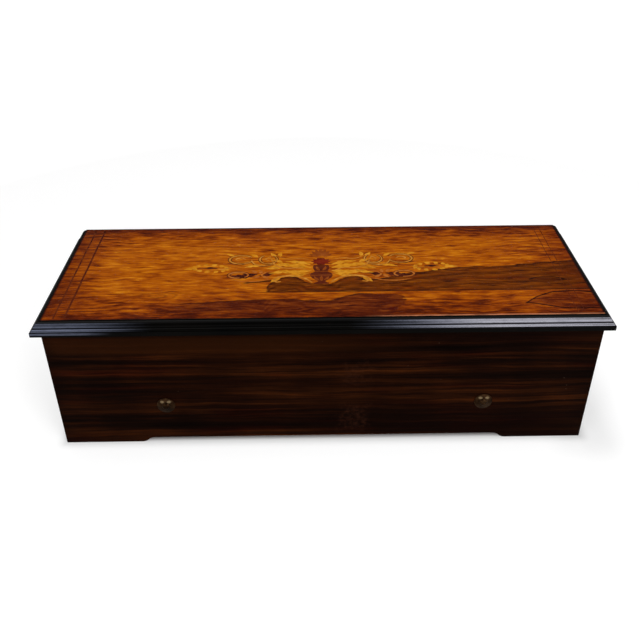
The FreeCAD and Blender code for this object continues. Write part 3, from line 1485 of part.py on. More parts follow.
# ---------------------------------------------------------------------------------------------- governor


def governor_screws():
    """Two screws in the governor's foot, between its plates."""
    middle = "(plate_left_high + plate_right_low)/2"
    y = "plate_front + 1.5*screw_head_radius"
    return [(f"{middle} {side} 1.5*screw_head_radius", y) for side in "-+"]


def governor_frame():
    """Two upright plates on a foot, with a tongue under the worm's lower pivot."""
    frame = Solid(y="plate_rear").keep("governor_frame")
    foot_top = "bed_top + plate_foot"
    frame.add(
        "XZ",
        "plate_front",
        "plate_rear",
        [
            ("plate_left_low", "bed_top"),
            ("plate_right_high", "bed_top"),
            ("plate_right_high", "frame_top"),
            ("plate_right_low", "frame_top"),
            ("plate_right_low", foot_top),
            ("plate_left_high", foot_top),
            ("plate_left_high", "frame_top"),
            ("plate_left_low", "frame_top"),
        ],
    )
    tongue = rectangle(
        "worm_x - 3*worm_radius",
        "worm_x + 3*worm_radius",
        "plate_rear - plate_thickness",
        "worm_y + 2*worm_radius",
    )
    frame.add("XY", "bed_top", foot_top, tongue)
    pivots = [("first_y", "axis_z", "staff_pivot + running_clearance")]
    pivots.append(("second_y", "second_z", "staff_pivot + running_clearance"))
    frame.cut("YZ", "plate_left_low", "plate_right_high", circles=pivots)
    step = [("worm_x", "worm_y", "staff_pivot + running_clearance")]
    frame.cut("XY", "bed_top + tongue_floor", foot_top, circles=step)
    holes = [(x, y, "screw_radius + running_clearance") for x, y in governor_screws()]
    frame.cut("XY", "bed_top", foot_top, circles=holes)
    cock = Solid(z="frame_top").keep("governor_cock")
    cock_top = "frame_top + cock_thickness"
    cock_low = "plate_rear - 5*worm_radius"
    outline = [
        ("plate_right_high", cock_low),
        ("plate_right_high", "plate_rear"),
        ("worm_x + 2*worm_radius", "worm_y + 2*worm_radius"),
        ("worm_x - 2*worm_radius", "worm_y + 2*worm_radius"),
        ("worm_x - 2*worm_radius", "plate_rear - worm_radius"),
        ("plate_right_low", cock_low),
    ]
    cock.add("XY", "frame_top", cock_top, outline)
    cock.cut("XY", "frame_top", cock_top, circles=[("worm_x", "worm_y", "staff_pivot + running_clearance")])


def staff(label, y, z, pinion_low, teeth, module, width, turned):
    """A steel staff with its pinion leaves cut in one, and a pivot at each plate."""
    low = size("plate_left_low")
    high = size("plate_right_high")
    radius = size("staff_radius")
    inner_low = size("plate_left_high + staff_end_gap")
    inner_high = size("plate_right_low - staff_end_gap")
    leaves = toothed(teeth, module, width, turned)
    leaves.translate(FreeCAD.Vector(pinion_low - low, 0, 0))
    shape = along_x(size("staff_pivot"), 0, high - low)
    shape = shape.fuse(along_x(radius, inner_low - low, inner_high - low))
    shape = shape.fuse(leaves).removeSplitter()
    shaped(shape, label, "plate_left_low", y, z)


def governor_train():
    """The first and second staffs with their wheels. The teeth are turned so that each pair is in mesh."""
    first_pinion = count("first_pinion_teeth")
    staff(
        "first_staff",
        "first_y",
        "axis_z",
        size("first_pinion_low"),
        first_pinion,
        size("brake_module"),
        size("first_pinion_width"),
        180 + 180 / first_pinion,
    )
    fine = size("fine_module")
    teeth = count("first_teeth")
    width = size("fine_width")
    wheel = toothed(teeth, fine, width, -size("second_drop"))
    root = fine * (teeth / 2 - size("dedendum"))
    hub, rim, spoke = (root * size(share) for share in ("wheel_hub", "wheel_rim", "wheel_spoke"))
    wheel = crossed_out(wheel, width, hub, rim, count("wheel_spokes"), spoke)
    wheel = wheel.cut(along_x(size("staff_radius + seat_clearance"), 0, width))
    shaped(wheel, "first_wheel", "first_low", "first_y", "axis_z")
    second_pinion = count("second_pinion_teeth")
    staff(
        "second_staff",
        "second_y",
        "second_z",
        size("second_pinion_low"),
        second_pinion,
        fine,
        size("second_pinion_width"),
        180 - size("second_drop") + 180 / second_pinion,
    )
    width = size("second_width")
    wheel = toothed(count("second_teeth"), fine, width)
    wheel = wheel.cut(along_x(size("staff_radius + seat_clearance"), 0, width))
    shaped(wheel, "second_wheel", "second_low", "second_y", "second_z")


def fan():
    """The upright worm staff and the two-winged air brake on it."""
    worm = Solid(x="worm_x", y="worm_y").keep("worm_staff")
    low = "bed_top + tongue_floor + staff_end_gap"
    worm_low = "bed_top + plate_foot + staff_end_gap"
    fan_high = "frame_top - fan_gap"
    worm.turn(
        "Z",
        [
            (low, "0"),
            (low, "staff_pivot"),
            (worm_low, "staff_pivot"),
            (worm_low, "worm_radius"),
            ("fan_low - fan_gap/2", "worm_radius"),
            ("fan_low - fan_gap/2", "staff_radius"),
            ("frame_top - staff_end_gap", "staff_radius"),
            ("frame_top - staff_end_gap", "staff_pivot"),
            ("frame_top + cock_thickness", "staff_pivot"),
            ("frame_top + cock_thickness", "0"),
        ],
    )
    wings = Solid(x="worm_x", y="worm_y", z="fan_low").keep("fan")
    half = "fan_thickness/2"
    sheet_outline = rectangle(
        "worm_x - fan_radius", "worm_x + fan_radius", f"worm_y - {half}", f"worm_y + {half}"
    )
    wings.add("XY", "fan_low", fan_high, circles=[("worm_x", "worm_y", "staff_radius + fan_thickness")])
    wings.add("XY", "fan_low", fan_high, sheet_outline)
    wings.cut("XY", "fan_low", fan_high, circles=[("worm_x", "worm_y", "staff_radius + seat_clearance")])


# ---------------------------------------------------------------------------------------------- control levers


def control_lever(label, pivot_y, nose):
    """A flat brass lever on an upright stud, with a finger tab in the right compartment."""
    lever = Solid(z="control_low").keep(label)
    half = "control_width/2"
    tail = [
        ("control_x", f"{pivot_y} - {half}"),
        ("tab_x", f"{pivot_y} - {half}"),
        ("tab_x", f"{pivot_y} + {half}"),
        ("control_x", f"{pivot_y} + {half}"),
    ]
    lever.add("XY", "control_low", "control_top", circles=[("control_x", pivot_y, "control_width*0.85")])
    lever.add("XY", "control_low", "control_top", tail)
    nose_x, nose_y = nose
    arm = [
        (f"control_x - {half}*0.7", f"{pivot_y} - {half}*0.7"),
        (f"control_x + {half}*0.7", f"{pivot_y} + {half}*0.7"),
        (f"{nose_x} + {half}*0.5", f"{nose_y} + {half}*0.5"),
        (f"{nose_x} - {half}*0.5", f"{nose_y} - {half}*0.5"),
    ]
    lever.add("XY", "control_low", "control_top", arm)
    round_top = "control_top + control_tab - control_width"
    tab = [
        (f"{pivot_y} - control_width", "control_low"),
        (f"{pivot_y} + control_width", "control_low"),
        (f"{pivot_y} + control_width", round_top, "control_width", LEFT),
        (pivot_y, "control_top + control_tab", "control_width", LEFT),
        (f"{pivot_y} - control_width", round_top),
    ]
    lever.add("YZ", "tab_x - control_thickness", "tab_x", tab)
    bore = [("control_x", pivot_y, "control_stud + running_clearance")]
    lever.cut("XY", "control_low", "control_top", circles=bore)


def control_levers():
    """The start lever's nose lies by the cylinder wheel, the change lever's in front of the snail."""
    wheel_reach = "brake_module*(round(cylinder_teeth)/2 + addendum)"
    drop = "(axis_z - control_top)"
    chord = f"sqrt(({wheel_reach})^2 - {drop}^2)"
    start_nose = ("cylinder_wheel_middle", f"cylinder_y - {chord} - nose_gap")
    change_nose = ("cylinder_wheel_low - snail_room/2", f"cylinder_y - {chord} - 3*nose_gap")
    control_lever("start_lever", "start_y", start_nose)
    control_lever("change_lever", "change_y", change_nose)


def pivot_studs():
    """The fixed studs that the holding pawl and the control levers turn on."""
    claw_low = "ratchet_low - claw_stud"
    claw_place = claw_pivot("click_angle")
    claw_length = f"partition_left_high - ({claw_low})"
    studs = [rod("X", claw_low, *claw_place, claw_length, "claw_stud - seat_clearance")]
    for pivot_y in ("start_y", "change_y"):
        stud = Solid(x="control_x", y=pivot_y, z="bed_top")
        stud.turn(
            "Z",
            [
                ("bed_top", "0"),
                ("bed_top", "control_stud*1.8"),
                ("control_low - running_clearance", "control_stud*1.8"),
                ("control_low - running_clearance", "control_stud"),
                ("control_top + running_clearance", "control_stud"),
                ("control_top + running_clearance", "control_stud*1.6"),
                ("control_top + control_stud", "control_stud*1.6"),
                ("control_top + control_stud", "0"),
            ],
        )
        studs.append(stud.body)
    group(studs, "pivot_studs")


# ---------------------------------------------------------------------------------------------- the whole box


def build():
    front_panel()
    rear_panel()
    case_ends()
    bottom_board()
    left_partition()
    right_partition()
    glass_rest()
    lid_board()
    lid_mouldings()
    tune_sheet()
    lid_hinges()
    glass_hinges()
    glass_lid()
    bedplate()
    movement_bolts()
    bridges()
    spring_barrel()
    barrel_cover()
    mainspring()
    winding_arbor()
    ratchet_wheel()
    claw("holding_pawl", "click_angle")
    winding_lever()
    claw("driving_pawl", "drive_claw_angle")
    cylinder_arbor()
    cylinder_barrel()
    tune_snail()
    cylinder_pins()
    comb()
    comb_weights()
    comb_base()
    movement_screws()
    governor_frame()
    governor_train()
    fan()
    control_levers()
    pivot_studs()
    doc.recompute()


def check():
    """Stop if anything failed to build, or a cut took nothing away."""
    for thing in doc.Objects:
        if "Invalid" in thing.State or "Error" in thing.State:
            raise RuntimeError(f"{thing.Label} is {thing.State}")
    for pocket in cuts:
        before = pocket.BaseFeature.Shape.Volume
        if not pocket.Shape.Volume < before:
            raise RuntimeError(f"{pocket.getParentGeoFeatureGroup().Label}: {pocket.Label} cuts nothing")
    for piece in pieces:
        if piece.Shape.isNull() or not piece.Shape.isValid():
            raise RuntimeError(f"{piece.Label} has no valid shape")


def write():
    os.makedirs("parts", exist_ok=True)
    for piece in pieces:
        piece.Shape.exportStep(f"parts/{piece.Label}.step")
        print(f"{piece.Label}: {len(piece.Shape.Solids)} solid, {piece.Shape.Volume:.0f} mm3")


build()
check()
write()
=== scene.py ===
import json
import math
import random

import bmesh
import bpy
from mathutils import Matrix, Vector


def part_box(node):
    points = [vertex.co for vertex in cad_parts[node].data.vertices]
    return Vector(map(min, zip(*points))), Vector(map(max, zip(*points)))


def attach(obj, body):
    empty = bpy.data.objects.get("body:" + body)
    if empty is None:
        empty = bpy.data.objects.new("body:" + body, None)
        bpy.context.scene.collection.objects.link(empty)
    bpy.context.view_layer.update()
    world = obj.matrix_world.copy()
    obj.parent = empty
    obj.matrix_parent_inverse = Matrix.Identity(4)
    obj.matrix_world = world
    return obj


MM = 0.001

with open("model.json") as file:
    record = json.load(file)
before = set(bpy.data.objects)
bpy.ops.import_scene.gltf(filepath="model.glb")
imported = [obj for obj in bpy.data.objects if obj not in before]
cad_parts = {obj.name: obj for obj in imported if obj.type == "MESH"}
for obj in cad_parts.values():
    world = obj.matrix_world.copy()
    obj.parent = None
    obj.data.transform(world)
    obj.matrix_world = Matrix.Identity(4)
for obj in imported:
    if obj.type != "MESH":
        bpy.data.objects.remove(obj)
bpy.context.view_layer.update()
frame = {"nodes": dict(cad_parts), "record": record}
nodes = frame["nodes"]

lid_low, lid_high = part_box("lid_board")
LID_TOP = lid_high.z
front_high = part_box("front_panel")[1]
drum_low, drum_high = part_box("cylinder_tube")
worm_low, worm_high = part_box("worm_staff")
sheet_low, sheet_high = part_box("tune_sheet")


# ---- helpers for materials


def tone(red, green, blue):
    """An sRGB colour from 0 to 255, as the linear values that a shader takes."""
    shares = (value / 255 for value in (red, green, blue))
    return tuple(s / 12.92 if s <= 0.04045 else ((s + 0.055) / 1.055) ** 2.4 for s in shares) + (1.0,)


class Nodes:
    """Short calls that lay nodes in a node tree. A value is a number or another node's output."""

    def __init__(self, tree):
        self.tree = tree

    def node(self, kind, **settings):
        node = self.tree.nodes.new(kind)
        for key, value in settings.items():
            setattr(node, key, value)
        return node

    def feed(self, socket, value):
        if isinstance(value, bpy.types.NodeSocket):
            self.tree.links.new(value, socket)
        else:
            socket.default_value = value

    def math(self, operation, *values):
        node = self.node("ShaderNodeMath", operation=operation)
        for socket, value in zip(node.inputs, values):
            self.feed(socket, value)
        return node.outputs[0]

    def plus(self, first, second):
        return self.math("ADD", first, second)

    def minus(self, first, second):
        return self.math("SUBTRACT", first, second)

    def times(self, first, second):
        return self.math("MULTIPLY", first, second)

    def scaled(self, value, factor, offset):
        return self.math("MULTIPLY_ADD", value, factor, offset)

    def most(self, first, second):
        return self.math("MAXIMUM", first, second)

    def least(self, first, second):
        return self.math("MINIMUM", first, second)

    def squares(self, first, second):
        return self.plus(self.math("POWER", first, 2), self.math("POWER", second, 2))

    def varied(self, value, *textures):
        """The value swung up and down by each (texture, amount), whose textures lie about 0.5."""
        for texture, amount in textures:
            value = self.plus(value, self.scaled(texture, amount, -amount / 2))
        return value

    def split(self, vector):
        node = self.node("ShaderNodeSeparateXYZ")
        self.feed(node.inputs[0], vector)
        return node.outputs

    def joined(self, x, y, z):
        node = self.node("ShaderNodeCombineXYZ")
        for socket, value in zip(node.inputs, (x, y, z)):
            self.feed(socket, value)
        return node.outputs[0]

    def span(self, value, low, high, to_low=0.0, to_high=1.0, smooth=True):
        """to_low up to low, to_high from high on, and a slope between them."""
        node = self.node("ShaderNodeMapRange")
        node.interpolation_type = "SMOOTHSTEP" if smooth else "LINEAR"
        for key, number in (("From Min", low), ("From Max", high), ("To Min", to_low), ("To Max", to_high)):
            self.feed(node.inputs[key], number)
        self.feed(node.inputs["Value"], value)
        return node.outputs["Result"]

    def band(self, value, low, high, soft):
        """1 between low and high, fading to 0 over soft outside them."""
        return self.times(self.span(value, low - soft, low), self.span(value, high, high + soft, 1.0, 0.0))

    def mix(self, share, first, second, blend="MIX"):
        node = self.node("ShaderNodeMix", data_type="RGBA", blend_type=blend)
        self.feed(node.inputs[0], share)
        self.feed(node.inputs[6], first)
        self.feed(node.inputs[7], second)
        return node.outputs[2]

    def tinted(self, colour, tint):
        return self.mix(1.0, colour, tint, blend="MULTIPLY")

    def ramp(self, value, *stops):
        node = self.node("ShaderNodeValToRGB")
        elements = node.color_ramp.elements
        for number, (at, colour) in enumerate(stops):
            element = elements[number] if number < 2 else elements.new(at)
            element.position = at
            element.color = colour
        self.feed(node.inputs[0], value)
        return node.outputs[0]


class Finish(Nodes):
    """A procedural material, built up node by node. Lengths in its textures are millimetres."""

    def __init__(self, name, roughness=0.4, specular=0.5, metallic=0.0, ior=1.5):
        self.material = bpy.data.materials.new(name)
        self.material.use_nodes = True
        super().__init__(self.material.node_tree)
        self.shader = self.tree.nodes["Principled BSDF"]
        self.shader.inputs["Roughness"].default_value = roughness
        self.shader.inputs["Specular IOR Level"].default_value = specular
        self.shader.inputs["Metallic"].default_value = metallic
        self.shader.inputs["IOR"].default_value = ior
        millimetres = self.node("ShaderNodeVectorMath", operation="SCALE")
        self.feed(millimetres.inputs[0], self.node("ShaderNodeTexCoord").outputs["Object"])
        millimetres.inputs["Scale"].default_value = 1000
        self.place = millimetres.outputs[0]
        self.x, self.y, self.z = self.split(self.place)

    def noise(self, cells, detail=4.0, roughness=0.6, distortion=0.0, seed=0.0, place=None):
        """Noise whose cells are about that long along x, y and z."""
        stretched = self.node("ShaderNodeVectorMath", operation="MULTIPLY")
        self.feed(stretched.inputs[0], place or self.place)
        stretched.inputs[1].default_value = [1 / length for length in cells]
        texture = self.node("ShaderNodeTexNoise", noise_dimensions="4D")
        self.feed(texture.inputs["Vector"], stretched.outputs[0])
        texture.inputs["W"].default_value = seed
        texture.inputs["Scale"].default_value = 1
        texture.inputs["Detail"].default_value = detail
        texture.inputs["Roughness"].default_value = roughness
        texture.inputs["Distortion"].default_value = distortion
        return texture.outputs[0]

    def curve(self, value, low, high, points, floor, ceiling):
        """A height that follows (value, height) points along a smooth curve."""
        node = self.node("ShaderNodeFloatCurve")
        line = node.mapping.curves[0].points
        places = [((at - low) / (high - low), (up - floor) / (ceiling - floor)) for at, up in points]
        for number, (at, up) in enumerate(places):
            if number < 2:
                line[number].location = (at, up)
            else:
                line.new(at, up)
        node.mapping.update()
        self.feed(node.inputs["Value"], self.span(value, low, high, smooth=False))
        return self.span(node.outputs[0], 0, 1, floor, ceiling, smooth=False)

    def bump(self, height, depth):
        """Relief of that many millimetres where height goes from 0 to 1."""
        node = self.node("ShaderNodeBump")
        node.inputs["Strength"].default_value = 1.0
        node.inputs["Distance"].default_value = depth * MM
        self.feed(node.inputs["Height"], height)
        self.feed(self.shader.inputs["Normal"], node.outputs[0])

    def colour(self, value):
        self.feed(self.shader.inputs["Base Color"], value)

    def roughness(self, value):
        self.feed(self.shader.inputs["Roughness"], value)


# ---- the lid's veneer, in millimetres

LID_HALF = 278
LID_REAR = 100.7
LID_FRONT = -94.4
EDGE_Z = 146  # the board's edge is stained dark above this height
JOINT_Y = -46.6  # the straight joint before the dark flame
CROSSBAND_X = -254
EYE_X, EYE_Y = -170, -52
LENS_X, LENS_Y = 238, -27
SPOT_X, SPOT_Y = 69, -81
FLAME_EDGE = (
    (-60, -39), (-56, -30), (-48, -21), (-33, -16), (-22, -21), (-12, -30), (0, -31), (10, -30), (20, -20),
    (32, -16), (44, -19), (56, -22), (70, -19), (84, -14), (96, -9), (110, -8), (128, -3), (150, 1), (172, 2),
    (195, 3), (217, 6), (240, 10), (263, 12), (280, 16),
)
STRIP_EDGE = (
    (-160, -66), (-112, -65), (-78, -62), (-38, -61), (4, -64), (16, -59), (25, -55), (41, -51), (60, -53),
    (79, -55), (85, -64), (88, -92), (100, -94),
)
ARROW_EDGE = ((190, -100), (203, -74), (212, -66), (228, -55), (245, -50), (262, -50), (280, -53))


class LidVeneer(Finish):
    """The lid's finish, with the textures that every part of its figure shares."""

    def __init__(self):
        super().__init__("figured_veneer", specular=0.22)
        wander = self.noise((60, 25, 60), detail=3, seed=3)
        self.waved = self.joined(self.x, self.plus(self.y, self.scaled(wander, 14, -7)), self.z)
        self.streak = self.noise((24, 3.0, 20), detail=7, roughness=0.64, distortion=0.3, place=self.waved, seed=1)
        self.thread = self.noise((34, 1.3, 20), detail=5, roughness=0.6, distortion=0.2, place=self.waved, seed=5)
        self.mottle = self.noise((24, 4.6, 10), detail=3, roughness=0.55, distortion=0.35, place=self.waved, seed=16)
        self.cloud = self.noise((46, 24, 40), detail=4, roughness=0.55, seed=2)
        self.rag = self.scaled(self.noise((16, 9, 10), detail=4, roughness=0.6, seed=11), 9, -4.5)


def amber_ground(f):
    """Amber in short streaks, brightest in the middle of the lid, with darker flecks and brighter sparks."""
    left_x = f.span(f.x, -LID_HALF, -215, 0.2, 1.0)
    right_x = f.span(f.x, 150, LID_HALF, 1.0, 0.55)
    rear_y = f.span(f.y, 100, 50)
    front_y = f.span(f.y, -94, -28)
    glow = f.times(f.times(left_x, right_x), f.times(rear_y, front_y))
    value = f.varied(f.scaled(f.streak, 1.1, -0.135), (f.mottle, 0.8), (f.cloud, 0.52), (f.thread, 0.4))
    value = f.plus(value, f.scaled(glow, 0.24, -0.16))
    amber = f.ramp(
        value,
        (0.16, tone(76, 25, 5)), (0.30, tone(122, 49, 4)), (0.44, tone(157, 75, 4)),
        (0.56, tone(176, 92, 6)), (0.70, tone(198, 116, 14)), (0.86, tone(216, 140, 30)),
    )
    fleck = f.noise((9, 1.9, 10), detail=3, roughness=0.55, distortion=0.5, place=f.waved, seed=8)
    amber = f.mix(f.span(fleck, 0.60, 0.72, 0.0, 0.6), amber, tone(96, 38, 8))
    spark = f.noise((10, 3.2, 10), detail=3, roughness=0.5, distortion=0.6, place=f.waved, seed=18)
    sparks = f.times(f.span(spark, 0.58, 0.72, 0.0, 0.6), f.span(value, 0.42, 0.56))
    return f.mix(sparks, amber, tone(212, 138, 26))


def dark_flame(f, wood):
    """The dark flame, between a wavy rear boundary and the joint. The front strip takes up its figure, dusk, and how
    strongly its outline shows."""
    edge = f.curve(f.x, -60, 280, FLAME_EDGE, -60, 40)
    behind = f.minus(edge, f.plus(f.y, f.rag))
    ahead = f.minus(f.y, JOINT_Y)
    beside = f.times(f.plus(f.x, f.scaled(f.rag, 1.5, 58)), 0.7)
    inside = f.least(f.least(behind, ahead), beside)
    rings = f.math("SINE", f.scaled(behind, 0.55, f.times(f.streak, 7)))
    dusk = f.scaled(f.streak, 0.9, f.scaled(rings, 0.07, -0.05))
    dusk = f.varied(dusk, (f.thread, 0.7), (f.mottle, 0.5))
    dark = f.ramp(
        dusk,
        (0.18, tone(52, 19, 2)), (0.34, tone(84, 36, 3)), (0.50, tone(110, 51, 4)),
        (0.66, tone(134, 69, 6)), (0.84, tone(166, 96, 14)),
    )
    ruddy = f.span(f.noise((40, 9, 20), detail=3, seed=27), 0.5, 0.66, 0.0, 0.45)
    dark = f.mix(ruddy, dark, f.tinted(dark, tone(255, 190, 120)))
    wood = f.mix(f.span(inside, -0.6, 0.9), wood, dark)
    strength = f.span(f.noise((26, 12, 20), detail=2, seed=13), 0.35, 0.65, 0.25, 0.85)
    outline = f.times(f.band(inside, 0.0, 1.1, 0.9), strength)
    return f.mix(outline, wood, tone(44, 14, 5)), dusk, strength


def front_strip(f, wood, dusk, strength):
    """The strip before the joint: a second flame in its middle and an arrow-shaped one at the right."""
    right_x = 87  # from slant_y forwards this end leans to the left
    slant_y = -64
    lower = f.minus(f.curve(f.x, -160, 100, STRIP_EDGE, -100, -40), f.plus(f.y, f.times(f.rag, 0.8)))
    slant = f.times(f.most(f.minus(slant_y, f.y), 0), 0.8)
    slant = f.plus(slant, f.times(f.rag, 2.2))
    slant = f.plus(slant, f.scaled(f.streak, 26, -13))
    lower = f.least(lower, f.minus(right_x, f.plus(f.x, slant)))
    left_end = f.span(f.plus(f.x, f.times(f.rag, 4)), -172, -120)
    fading = f.most(f.span(f.x, -30, 40), f.span(f.plus(f.y, f.rag), -90, -74, 0.35, 1.0))
    deep = f.times(f.times(f.span(lower, -1.6, 1.4), left_end), fading)
    arrow = f.minus(f.curve(f.x, 190, 280, ARROW_EDGE, -100, -40), f.plus(f.y, f.times(f.rag, 0.4)))
    arrow = f.least(arrow, f.minus(f.y, f.span(f.x, 203, 250, -73, -84)))
    shade = f.most(f.times(deep, 0.92), f.times(f.span(arrow, -0.8, 1.0), 0.4))
    shade = f.times(shade, f.span(f.y, JOINT_Y - 0.4, JOINT_Y - 1.8))
    umber = f.ramp(
        f.plus(dusk, f.scaled(f.mottle, 0.5, -0.22)),
        (0.15, tone(44, 12, 4)), (0.38, tone(74, 23, 7)), (0.58, tone(104, 42, 9)), (0.85, tone(146, 74, 20)),
    )
    wood = f.mix(shade, wood, umber)
    wood = f.mix(f.times(f.band(arrow, 0.0, 1.3, 1.0), 0.9), wood, tone(40, 12, 5))
    lower_line = f.times(f.band(lower, 0.0, 1.2, 1.2), strength)
    lower_line = f.times(lower_line, f.band(f.x, -130, 40, 34))
    wood = f.mix(lower_line, wood, tone(52, 17, 7))

    # a red-brown spot, a crack and the dark line of the joint
    spot_x = f.times(f.minus(f.x, SPOT_X), 0.2)
    spot_y = f.times(f.plus(f.y, f.minus(f.rag, SPOT_Y)), 0.25)
    wood = f.mix(f.span(f.squares(spot_x, spot_y), 0.4, 1.3, 0.8, 0.0), wood, tone(70, 12, 5))
    crack = f.minus(f.scaled(f.x, 0.17, -14), f.scaled(f.rag, 0.4, f.y))
    crack = f.times(f.span(f.math("ABSOLUTE", crack), 2.4, 0.9), f.band(f.x, -79, -54, 7))
    wood = f.mix(f.times(crack, 0.9), wood, tone(26, 8, 4))
    joint = f.times(f.band(f.y, JOINT_Y - 0.7, JOINT_Y + 0.1, 0.6), f.span(f.x, -75, -45, 0.25, 0.85))
    return f.mix(joint, wood, tone(54, 18, 6))


def eye_and_lens(f, wood):
    """An eye of darker waves at the left of the front strip, and a dark lens at the right of the flame."""
    eye_x = f.times(f.minus(f.x, EYE_X), 0.034)
    eye_y = f.times(f.plus(f.y, f.minus(f.rag, EYE_Y)), 0.1)
    eye = f.math("SQRT", f.squares(eye_x, eye_y))
    waves = f.math("SINE", f.scaled(eye, 17, f.times(f.streak, 6)))
    waves = f.times(f.span(waves, 0.1, 1.0), f.span(eye, 0.25, 1.3, 0.5, 0.0))
    wood = f.mix(waves, wood, tone(92, 38, 9))
    lens_x = f.times(f.minus(f.x, LENS_X), 0.052)
    lens_y = f.times(f.plus(f.y, f.scaled(f.rag, 0.3, -LENS_Y)), 0.16)
    lens = f.squares(lens_x, lens_y)
    wood = f.mix(f.span(lens, 0.3, 1.1, 0.6, 0.0), wood, tone(62, 22, 4))
    outline = f.times(f.band(lens, 0.75, 0.95, 0.2), f.span(f.y, -30, -24, 0.2, 0.85))
    return f.mix(outline, wood, tone(30, 9, 4))


def aged_edges(f, wood):
    """Edges darkened by age and handling, the crossband at the left and the chafed front edge."""
    to_side = f.minus(LID_HALF, f.math("ABSOLUTE", f.x))
    to_rear = f.minus(LID_REAR, f.y)
    to_front = f.minus(f.y, LID_FRONT)
    ragged = f.scaled(f.cloud, 22, -11)
    near = f.least(to_side, f.times(to_rear, 1.6))
    side_depth = f.span(f.x, -240, -200, 0.32, 0.62)
    worn = f.times(f.span(f.plus(near, ragged), -2, 30, 1.0, 0.0), side_depth)
    worn = f.most(worn, f.span(f.plus(to_front, ragged), -2, 24, 0.55, 0.0))
    wood = f.mix(worn, wood, f.tinted(wood, tone(180, 132, 122)))
    rear_shade = f.span(f.plus(to_rear, f.times(ragged, 0.6)), 1, 15, 0.45, 0.0)
    wood = f.mix(rear_shade, wood, tone(66, 18, 6))
    rim = f.span(f.least(to_side, to_rear), 0.6, 2.4, 0.9, 0.0)
    wood = f.mix(rim, wood, tone(40, 10, 6))
    crossband = f.times(f.span(f.x, CROSSBAND_X, CROSSBAND_X - 1), 0.12)
    wood = f.mix(crossband, wood, tone(112, 46, 12))
    chafed = f.times(f.span(to_front, 2.8, 1.2), f.span(f.x, 30, 90))
    chafed = f.times(chafed, f.span(f.streak, 0.35, 0.6, 0.25, 0.75))
    return f.mix(chafed, wood, tone(206, 134, 92))


def figured_veneer():
    """Figured rosewood under French polish on the lid's top, plain stained wood on its edges and underside."""
    f = LidVeneer()
    wood, dusk, strength = dark_flame(f, amber_ground(f))
    wood = front_strip(f, wood, dusk, strength)
    wood = aged_edges(f, eye_and_lens(f, wood))
    pore = f.span(f.noise((5, 0.45, 5), detail=2, seed=21, place=f.waved), 0.62, 0.72)
    wood = f.mix(f.times(pore, 0.35), wood, tone(60, 24, 8))
    grain = f.noise((70, 3.5, 3.5), detail=6, roughness=0.62, distortion=0.4, seed=30)
    stained = f.ramp(grain, (0.25, tone(52, 22, 10)), (0.5, tone(84, 42, 18)), (0.75, tone(112, 62, 30)))
    top = f.span(f.z, LID_TOP / MM - 0.3, LID_TOP / MM - 0.1)
    edge = f.times(f.span(f.z, EDGE_Z, EDGE_Z + 1), f.minus(1, top))
    f.colour(f.mix(edge, f.mix(top, stained, wood), tone(24, 10, 6)))
    sheen_map = f.scaled(f.noise((70, 50, 50), detail=3, seed=41), 0.16, 0.14)
    f.roughness(f.scaled(pore, 0.12, sheen_map))
    f.bump(f.scaled(pore, -0.6, f.times(f.streak, 0.5)), 0.03)
    return f.material


# ---- other woods


def front_marks(f, aged, cloud):
    """The front panel's own marks: a lighter band above, two worn patches beside the middle, darker patches at the
    lower right and at the left end, and a painted shadow under the lid at the right.
    """
    above = f.times(f.band(f.z, 121, 135, 7), f.span(f.x, 120, -60, 0.0, 0.4))
    aged = f.mix(above, aged, tone(52, 23, 4))
    torn = f.scaled(f.noise((16, 16, 9), detail=4, roughness=0.65, seed=23), 44, -22)
    torn_x = f.plus(f.x, torn)
    torn_z = f.plus(f.z, torn)
    upper = f.times(f.band(torn_x, 22, 44, 10), f.band(torn_z, 80, 100, 7))
    lower = f.times(f.band(torn_x, 22, 42, 9), f.band(torn_z, 14, 44, 8))
    speck = f.noise((5, 5, 4), detail=5, roughness=0.7, seed=17)
    lighter_patch = f.times(f.most(f.times(upper, 0.7), lower), f.span(speck, 0.40, 0.72))
    aged = f.mix(f.times(lighter_patch, 0.38), aged, tone(64, 34, 22))
    # painted shadow: the top of the front darkened under the lid's overhang, most at the right
    painted_lid_shadow = f.times(f.span(f.z, 124, 142), f.span(f.x, 60, 160, 0.1, 0.85))
    low_right = f.times(f.span(f.z, 58, 40), f.span(f.x, -10, 130, 0.0, 0.6))
    left_edge = f.span(f.scaled(cloud, 50, f.x), -234, -262, 0.0, 0.7)
    painted_shadow_and_dark_patches = f.most(f.most(painted_lid_shadow, low_right), left_edge)
    return f.mix(painted_shadow_and_dark_patches, aged, tone(9, 2, 1))


